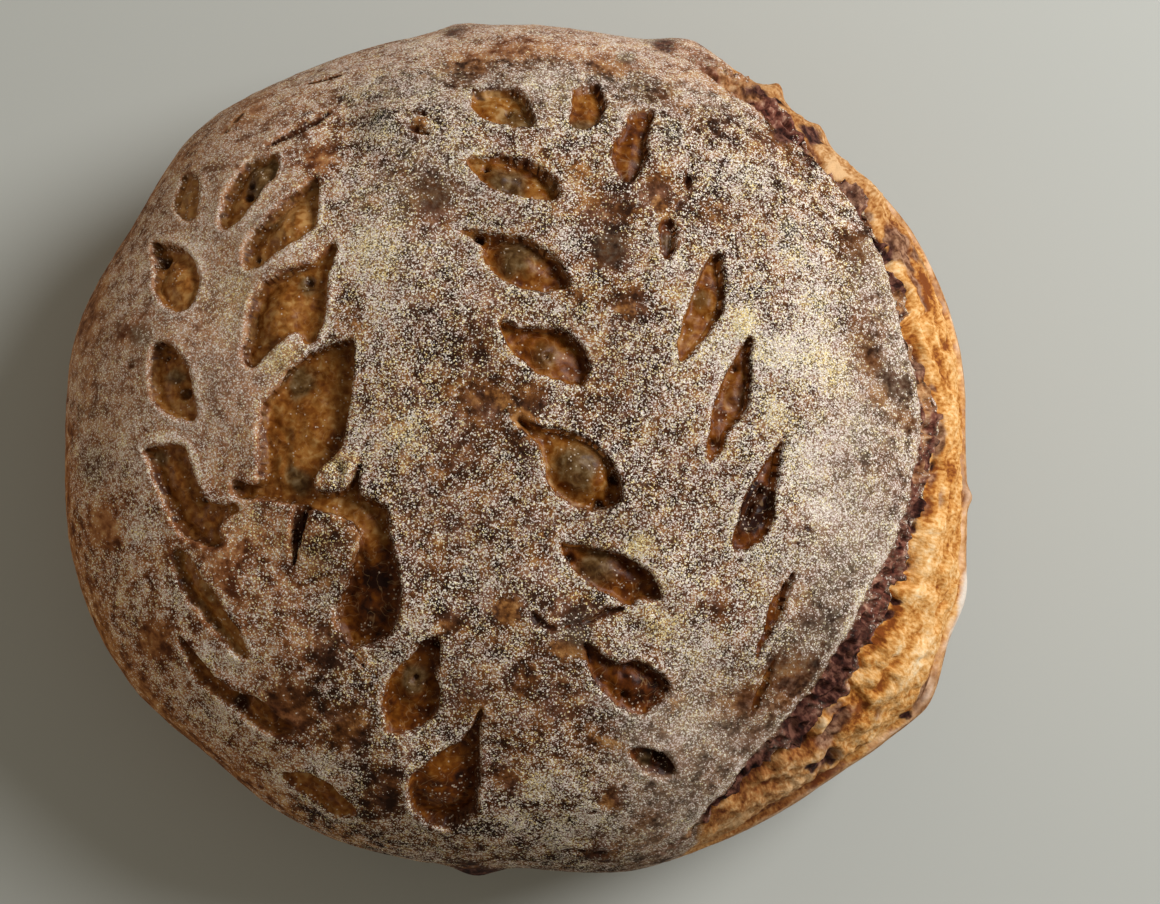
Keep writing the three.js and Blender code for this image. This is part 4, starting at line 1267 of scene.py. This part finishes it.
def make_loaf():
    """The finished loaf, with its masks as layers of the mesh."""
    points, triangles, kinds, shares = loaf_mesh()
    moved, masks, fibre_way = sculpt(points, triangles, kinds, shares)
    mesh = bpy.data.meshes.new("loaf_crust")
    mesh.from_pydata(place(moved).tolist(), [], triangles.tolist())
    mesh.shade_smooth()
    for name, values in masks.items():
        layer = mesh.attributes.new(name, "FLOAT", "POINT")
        layer.data.foreach_set("value", values.astype(np.float32))
    layer = mesh.attributes.new("fibre_way", "FLOAT_VECTOR", "POINT")
    layer.data.foreach_set("vector", (fibre_way * MM).astype(np.float32).ravel())
    piece = bpy.data.objects.new("loaf_crust", mesh)
    bpy.context.scene.collection.objects.link(piece)
    return piece


# ---------------------------------------------------------------- materials

class Nodes:
    """Short calls for building a material's nodes."""

    def __init__(self, name):
        self.material = bpy.data.materials.new(name)
        self.material.use_nodes = True
        self.tree = self.material.node_tree
        self.shader = self.tree.nodes["Principled BSDF"]
        self.place = self.add("ShaderNodeTexCoord").outputs["Object"]

    def add(self, kind, **settings):
        node = self.tree.nodes.new(kind)
        for key, value in settings.items():
            setattr(node, key, value)
        return node

    def feed(self, socket, value):
        if isinstance(value, bpy.types.NodeSocket):
            self.tree.links.new(value, socket)
        else:
            socket.default_value = value

    def mask(self, name):
        return self.add("ShaderNodeAttribute", attribute_name=name).outputs["Fac"]

    def noise(self, length, detail, distortion=0.0, at=None):
        node = self.add("ShaderNodeTexNoise")
        self.feed(node.inputs["Vector"], at or self.place)
        node.inputs["Scale"].default_value = 1 / (length * MM)
        node.inputs["Detail"].default_value = detail
        node.inputs["Distortion"].default_value = distortion
        return node.outputs["Fac"]

    def cells(self, length):
        """Distance into each random cell, and three random values for it."""
        node = self.add("ShaderNodeTexVoronoi")
        self.feed(node.inputs["Vector"], self.place)
        node.inputs["Scale"].default_value = 1 / (length * MM)
        split = self.add("ShaderNodeSeparateColor")
        self.feed(split.inputs["Color"], node.outputs["Color"])
        return (node.outputs["Distance"], split.outputs["Red"], split.outputs["Green"],
                split.outputs["Blue"])

    def math(self, operation, a, b=0.0, c=0.0, clamp=False):
        node = self.add("ShaderNodeMath", operation=operation, use_clamp=clamp)
        for socket, value in zip(node.inputs, (a, b, c)):
            self.feed(socket, value)
        return node.outputs["Value"]

    def plus(self, value, varied, amount, middle=0.5):
        """The value with a share of a noise added, centred on its middle."""
        return self.math("MULTIPLY_ADD", self.math("SUBTRACT", varied, middle), amount, value)

    def step(self, value, low, high, to_low=0.0, to_high=1.0):
        """Goes smoothly from to_low to to_high while the value goes from low to high."""
        node = self.add("ShaderNodeMapRange", interpolation_type="SMOOTHSTEP")
        for key, given in (("Value", value), ("From Min", low), ("From Max", high)):
            self.feed(node.inputs[key], given)
        node.inputs["To Min"].default_value = to_low
        node.inputs["To Max"].default_value = to_high
        return node.outputs["Result"]

    def blend(self, factor, a, b):
        """Colour a where the factor is 0 and colour b where it is 1."""
        node = self.add("ShaderNodeMix", data_type="RGBA", clamp_factor=True)
        self.feed(node.inputs["Factor"], factor)
        for key, value in (("A", a), ("B", b)):
            socket = next(s for s in node.inputs if s.name == key and s.type == "RGBA")
            self.feed(socket, value if isinstance(value, bpy.types.NodeSocket) else (*value, 1))
        return next(s for s in node.outputs if s.type == "RGBA")

    def ramp(self, value, stops):
        """The colour at a value, from stops of value and colour."""
        node = self.add("ShaderNodeValToRGB")
        self.feed(node.inputs["Fac"], value)
        elements = node.color_ramp.elements
        while len(elements) < len(stops):
            elements.new(1.0)
        for element, (position, colour) in zip(elements, stops):
            element.position = position
            element.color = (*colour, 1)
        return node.outputs["Color"]


def bare_crust(n, fine, mid, broad):
    """Browned crust: dark and mottled, orange where it is bare, grey in scorched patches and in
    patches of painted shadow.
    """
    tone = n.plus(n.plus(mid, broad, 0.5), fine, 0.35)
    hue = n.noise(6.0, 2)
    purple = n.ramp(tone, (
        (0.30, (0.022, 0.007, 0.002)), (0.46, (0.074, 0.026, 0.010)),
        (0.60, (0.150, 0.058, 0.027)), (0.74, (0.27, 0.120, 0.062)),
    ))
    brown = n.ramp(tone, (
        (0.30, (0.026, 0.008, 0.002)), (0.46, (0.100, 0.032, 0.007)),
        (0.60, (0.210, 0.078, 0.020)), (0.74, (0.36, 0.160, 0.048)),
    ))
    warm = n.ramp(tone, (
        (0.30, (0.13, 0.040, 0.008)), (0.46, (0.29, 0.110, 0.024)), (0.62, (0.44, 0.205, 0.060)),
        (0.76, (0.58, 0.330, 0.130)),
    ))
    crust = n.blend(n.step(hue, 0.42, 0.58), purple, brown)
    bare_here = n.step(n.plus(n.plus(n.mask("bare"), fine, 1.4), mid, 1.2), 0.25, 1.15, 0.0, 0.85)
    baked = n.ramp(tone, (
        (0.30, (0.105, 0.029, 0.008)), (0.46, (0.240, 0.083, 0.026)), (0.60, (0.39, 0.163, 0.060)),
        (0.74, (0.52, 0.275, 0.120)),
    ))
    crust = n.blend(n.step(n.plus(n.mask("tan"), mid, 0.8), 0.1, 0.9), crust, baked)
    warm = n.blend(n.math("MULTIPLY", n.mask("tan"), 0.5), warm, baked)
    crust = n.blend(bare_here, crust, warm)
    grey_here = n.step(n.plus(n.plus(n.mask("grey"), fine, 1.0), mid, 0.8), 0.15, 1.1, 0.0, 0.85)
    # Scorched grey, also standing in as painted shadow.
    scorch_and_shadow = n.ramp(fine, ((0.35, (0.012, 0.010, 0.007)), (0.68, (0.085, 0.071, 0.050))))
    return n.blend(grey_here, crust, scorch_and_shadow), bare_here, grey_here


def floured(n, surface, cover):
    """Single flour grains of two sizes over a surface, thicker where the cover is higher."""
    dust = n.step(n.plus(cover, n.mask("soft"), 0.7, 0.0), 0.3, 1.4, 0.0, 0.62)
    tint = n.noise(5.0, 3)
    yellow = n.mask("yellow")
    haze = n.ramp(tint, (
        (0.36, (0.30, 0.160, 0.100)), (0.5, (0.35, 0.220, 0.122)), (0.64, (0.37, 0.280, 0.125)),
    ))
    haze = n.blend(n.math("MULTIPLY", n.mask("soft"), 0.9), haze, (0.345, 0.252, 0.172))
    haze = n.blend(n.math("MULTIPLY", n.mask("tan"), 0.6), haze, (0.50, 0.305, 0.185))
    haze = n.blend(n.math("MULTIPLY", yellow, 0.6), haze, (0.46, 0.32, 0.13))
    surface = n.blend(dust, surface, haze)
    for length, share in ((0.42, 0.50), (0.29, 0.84)):
        distance, chance, hue, light = n.cells(length)
        present = n.step(n.math("SUBTRACT", n.math("MULTIPLY", cover, share), chance), 0.0, 0.12)
        present = n.math("MULTIPLY", present, n.step(distance, 0.80, 0.50))
        present = n.math("MULTIPLY", present, n.step(n.mask("soft"), 0.0, 1.0, 1.0, 0.8))
        tinge = n.plus(n.plus(n.plus(hue, tint, 1.2), yellow, 0.5, 0.0), n.mask("soft"), -0.2, 0.0)
        colour = n.ramp(tinge, (
            (0.0, (0.84, 0.69, 0.61)), (0.35, (0.98, 0.88, 0.75)), (0.6, (1.0, 0.95, 0.79)),
            (0.85, (0.98, 0.86, 0.50)), (1.0, (0.94, 0.73, 0.30)),
        ))
        colour = n.blend(n.step(light, 0.0, 1.0, 0.55, 0.0), colour, (0.22, 0.11, 0.06))
        surface = n.blend(present, surface, colour)
    return surface


def cut_floor(n, fine, mid):
    """The smooth baked skin in the cuts, dark along the wall with a toasted edge and painted shade,
    olive where it is thin.
    """
    wisps = n.noise(1.8, 4, distortion=0.4)
    level = n.plus(n.plus(n.plus(n.mask("tone"), wisps, 1.0), mid, 0.6), n.noise(8.0, 2), 0.8)
    floor = n.ramp(level, (
        (0.0, (0.018, 0.004, 0.001)), (0.3, (0.088, 0.020, 0.002)), (0.55, (0.178, 0.049, 0.003)),
        (0.8, (0.29, 0.112, 0.018)), (1.0, (0.43, 0.230, 0.075)),
    ))
    web = n.noise(5.0, 2, distortion=0.6)
    strand = n.step(n.math("ABSOLUTE", n.math("SUBTRACT", web, 0.5)), 0.014, 0.0)
    floor = n.blend(n.math("MULTIPLY", strand, 0.35), floor, (0.42, 0.25, 0.11))
    light_here = n.math("MULTIPLY", n.mask("tan"), n.mask("tone"), clamp=True)
    floor = n.blend(n.math("MULTIPLY", light_here, 0.75), floor, n.ramp(wisps, (
        (0.34, (0.17, 0.052, 0.009)), (0.5, (0.31, 0.115, 0.022)), (0.66, (0.44, 0.215, 0.060)),
    )))
    olive = n.step(n.plus(n.mask("olive"), mid, 0.7), 0.2, 0.9, 0.0, 0.8)
    floor = n.blend(olive, floor, n.ramp(wisps, (
        (0.35, (0.034, 0.020, 0.006)), (0.52, (0.092, 0.056, 0.020)), (0.68, (0.18, 0.128, 0.068)),
    )))
    wall = n.step(n.plus(n.mask("wall"), fine, 0.7), 0.28, 1.0, 0.0, 0.85)
    # The wall's toasted red-brown edge, going to near-black painted shade.
    baked = n.ramp(n.mask("wall"), ((0.4, (0.13, 0.038, 0.009)), (0.9, (0.032, 0.008, 0.002))))
    floor = n.blend(wall, floor, baked)
    distance, chance, _, _ = n.cells(0.45)
    sparse = n.step(n.noise(5.0, 3), 0.52, 0.72, 0.01, 0.14)
    sparse = n.math("MULTIPLY_ADD", n.mask("wall"), 0.09, sparse)
    crumb = n.math("MULTIPLY", n.math("LESS_THAN", chance, sparse), n.step(distance, 0.7, 0.4))
    return n.blend(n.math("MULTIPLY", crumb, 0.8), floor, (0.60, 0.47, 0.34))


def torn_crumb(n, fibres):
    """Soft golden crumb of the burst, pale with painted light on its swellings and amber with
    painted shade in its folds.
    """
    fluff = n.noise(2.4, 4, distortion=0.5)
    level = n.math("MULTIPLY_ADD", n.mask("cream"), 0.36, 0.42)
    level = n.plus(n.plus(n.plus(level, fluff, 0.8), n.noise(9.0, 2), 0.6), fibres, 1.1)
    level = n.math("SUBTRACT", level, n.math("MULTIPLY", n.mask("amber"), 0.40))
    golden = n.ramp(level, (
        (0.0, (0.20, 0.050, 0.007)), (0.22, (0.41, 0.145, 0.022)), (0.42, (0.62, 0.295, 0.078)),
        (0.62, (0.78, 0.455, 0.180)), (1.0, (0.92, 0.70, 0.42)),
    ))
    dull = n.ramp(level, (
        (0.0, (0.11, 0.025, 0.006)), (0.25, (0.27, 0.095, 0.022)), (0.5, (0.44, 0.208, 0.068)),
        (0.75, (0.66, 0.40, 0.19)),
    ))
    return n.blend(n.mask("dull"), golden, dull)


def torn_band(n, torn, mid):
    """The ragged band under the lip: dark, and toasted where crumb shows."""
    ragged = n.ramp(torn, (
        (0.32, (0.018, 0.004, 0.002)), (0.46, (0.090, 0.023, 0.013)), (0.58, (0.20, 0.070, 0.043)),
        (0.74, (0.44, 0.25, 0.165)),
    ))
    toasted = n.ramp(torn, (
        (0.30, (0.090, 0.028, 0.008)), (0.45, (0.29, 0.115, 0.036)), (0.58, (0.46, 0.235, 0.095)),
        (0.72, (0.66, 0.43, 0.23)),
    ))
    crumb_shows = n.plus(n.mask("amber"), n.mask("cream"), 0.8, 0.0)
    return n.blend(n.step(n.plus(crumb_shows, mid, 0.6), 0.15, 0.75), ragged, toasted)


def burst_marks(n, surface, fine, mid, torn, fibres):
    """Purple skin, partly painted shade, the pale and browned edges of the foot, white dust, and
    charring, partly painted shadow.
    """
    # Purple-brown skin, in places painted shade.
    purple = n.ramp(torn, (
        (0.32, (0.050, 0.018, 0.010)), (0.48, (0.150, 0.066, 0.036)), (0.66, (0.36, 0.20, 0.12)),
    ))
    purple_here = n.step(n.plus(n.mask("purple"), torn, 0.6), 0.05, 0.65, 0.0, 0.88)
    surface = n.blend(purple_here, surface, purple)
    rim = n.ramp(mid, (
        (0.34, (0.46, 0.23, 0.10)), (0.5, (0.66, 0.41, 0.24)), (0.68, (0.82, 0.60, 0.43)),
    ))
    surface = n.blend(n.math("MULTIPLY", n.mask("pale"), 0.8), surface, rim)
    brim = n.ramp(n.plus(mid, fine, 0.8), (
        (0.3, (0.22, 0.080, 0.025)), (0.5, (0.42, 0.205, 0.080)), (0.7, (0.58, 0.35, 0.17)),
    ))
    surface = n.blend(n.math("MULTIPLY", n.mask("edge"), 0.9), surface, brim)
    white_here = n.step(n.plus(n.mask("white"), mid, 0.5), 0.25, 0.75)
    surface = n.blend(white_here, surface, (0.70, 0.60, 0.49))
    # Charring, and painted shadow in the burst's crevices.
    char_and_shadow = n.ramp(torn, (
        (0.34, (0.010, 0.003, 0.002)), (0.50, (0.048, 0.013, 0.008)), (0.66, (0.16, 0.064, 0.040)),
    ))
    dark_here = n.step(n.plus(n.plus(n.mask("dark"), fine, 0.7), fibres, 0.6), 0.25, 0.85)
    return n.blend(dark_here, surface, char_and_shadow)


def crust_material():
    """The whole loaf's finish: crust, flour, the floors of the cuts, the burst and the sole."""
    n = Nodes("crust")
    fine, mid, broad = n.noise(1.1, 3), n.noise(3.6, 3), n.noise(13, 3)
    along_fibres = n.add("ShaderNodeAttribute", attribute_name="fibre_way").outputs["Vector"]
    fibres = n.noise(0.9, 4, at=along_fibres)
    torn = n.plus(n.noise(2.4, 4), fibres, 0.5)

    crust, bare_here, grey_here = bare_crust(n, fine, mid, broad)
    crust = n.blend(n.mask("band"), crust, torn_band(n, torn, mid))
    cover = n.plus(n.plus(n.mask("flour"), fine, n.mask("patchy")), mid, n.mask("patchy"))
    cover = n.math("SUBTRACT", cover, n.math("MULTIPLY", bare_here, 0.32))
    cover = n.math("SUBTRACT", cover, n.math("MULTIPLY", grey_here, 0.08))
    surface = floured(n, crust, cover)
    cut_here = n.step(n.plus(n.mask("cut"), fine, 0.5), 0.35, 0.65)
    surface = n.blend(cut_here, surface, cut_floor(n, fine, mid))
    surface = n.blend(n.step(n.mask("crumb"), 0.35, 0.65), surface, torn_crumb(n, fibres))
    surface = burst_marks(n, surface, fine, mid, torn, fibres)
    sole = n.ramp(n.noise(6.0, 4), (
        (0.35, (0.055, 0.026, 0.013)), (0.5, (0.13, 0.065, 0.030)), (0.68, (0.27, 0.165, 0.085)),
    ))
    surface = n.blend(n.math("MULTIPLY", n.mask("under"), 0.8), surface, sole)

    n.feed(n.shader.inputs["Base Color"], surface)
    n.feed(n.shader.inputs["Roughness"], n.step(cut_here, 0.0, 1.0, 0.88, 0.40))
    n.shader.inputs["Specular IOR Level"].default_value = 0.12
    bump = n.add("ShaderNodeBump")
    bump.inputs["Distance"].default_value = 0.35 * MM
    n.feed(bump.inputs["Strength"], n.step(cut_here, 0.0, 1.0, 0.8, 0.3))
    n.feed(bump.inputs["Height"], n.plus(n.math("MULTIPLY", fine, 0.7), n.noise(0.6, 2), 0.6))
    n.feed(n.shader.inputs["Normal"], bump.outputs["Normal"])
    return n.material


def floor_material():
    material = bpy.data.materials.new("floor_paint")
    material.use_nodes = True
    shader = material.node_tree.nodes["Principled BSDF"]
    shader.inputs["Base Color"].default_value = (0.485, 0.485, 0.432, 1)
    shader.inputs["Roughness"].default_value = 0.9
    return material


# ---------------------------------------------------------------- stage

FLOOR_REACH = 3.0
FLOOR_LEVEL = -0.0002  # just under the loaf's base, so that the two never coincide


def make_floor():
    mesh = bpy.data.meshes.new("floor")
    corners = ((-1, -1), (1, -1), (1, 1), (-1, 1))
    places = [(x * FLOOR_REACH, y * FLOOR_REACH, FLOOR_LEVEL) for x, y in corners]
    mesh.from_pydata(places, [], [(0, 1, 2, 3)])
    floor = bpy.data.objects.new("floor", mesh)
    floor.data.materials.append(floor_material())
    bpy.context.scene.collection.objects.link(floor)


CAMERA_ELEVATION = math.radians(85)
CAMERA_DISTANCE = 0.600
IMAGE_WIDTH = 1160
FOCAL_PIXELS = 2250
SENSOR_WIDTH = 36.0
AXIS_HEIGHT = 0.038  # height on the loaf's axis that the camera looks level with
AIM_ASIDE = 0.0157


def make_camera():
    data = bpy.data.cameras.new("camera")
    data.sensor_width = SENSOR_WIDTH
    data.lens = SENSOR_WIDTH * FOCAL_PIXELS / IMAGE_WIDTH
    data.clip_start = 0.01
    camera = bpy.data.objects.new("camera", data)
    axis = Vector((-PLAN_MIDDLE[0] * MM, -PLAN_MIDDLE[1] * MM, AXIS_HEIGHT))
    back = Vector((0, -math.cos(CAMERA_ELEVATION), math.sin(CAMERA_ELEVATION)))
    camera.location = axis + back * CAMERA_DISTANCE
    turn_aside = math.atan(AIM_ASIDE / CAMERA_DISTANCE)
    camera.rotation_euler = (math.pi / 2 - CAMERA_ELEVATION, -turn_aside, 0)
    bpy.context.scene.collection.objects.link(camera)
    bpy.context.scene.camera = camera


def make_light(name, azimuth, elevation, distance, size, power, colour):
    data = bpy.data.lights.new(name, "AREA")
    data.shape = "DISK"
    data.size = size
    data.energy = power
    data.color = colour
    light = bpy.data.objects.new(name, data)
    azimuth, elevation = math.radians(azimuth), math.radians(elevation)
    light.location = distance * Vector((
        math.cos(elevation) * math.cos(azimuth),
        math.cos(elevation) * math.sin(azimuth),
        math.sin(elevation),
    ))
    light.rotation_euler = (-light.location).to_track_quat("-Z", "Y").to_euler()
    bpy.context.scene.collection.objects.link(light)


def make_world():
    world = bpy.data.worlds.new("studio")
    world.use_nodes = True
    background = world.node_tree.nodes["Background"]
    background.inputs["Color"].default_value = (1.0, 0.94, 0.82, 1)
    background.inputs["Strength"].default_value = 0.215
    bpy.context.scene.world = world
    bpy.context.scene.view_settings.view_transform = "Standard"


# ---------------------------------------------------------------- the whole scene

loaf = make_loaf()
loaf.data.materials.append(crust_material())
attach(loaf, "root")
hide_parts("loaf")
make_floor()
make_camera()
make_light(
    "window", azimuth=27, elevation=39, distance=1.25, size=0.68, power=18.2,
    colour=(0.93, 0.95, 1.0),
)
make_light(
    "bounce", azimuth=180, elevation=12, distance=1.2, size=0.5, power=1.8,
    colour=(1.0, 0.86, 0.68),
)
make_world()
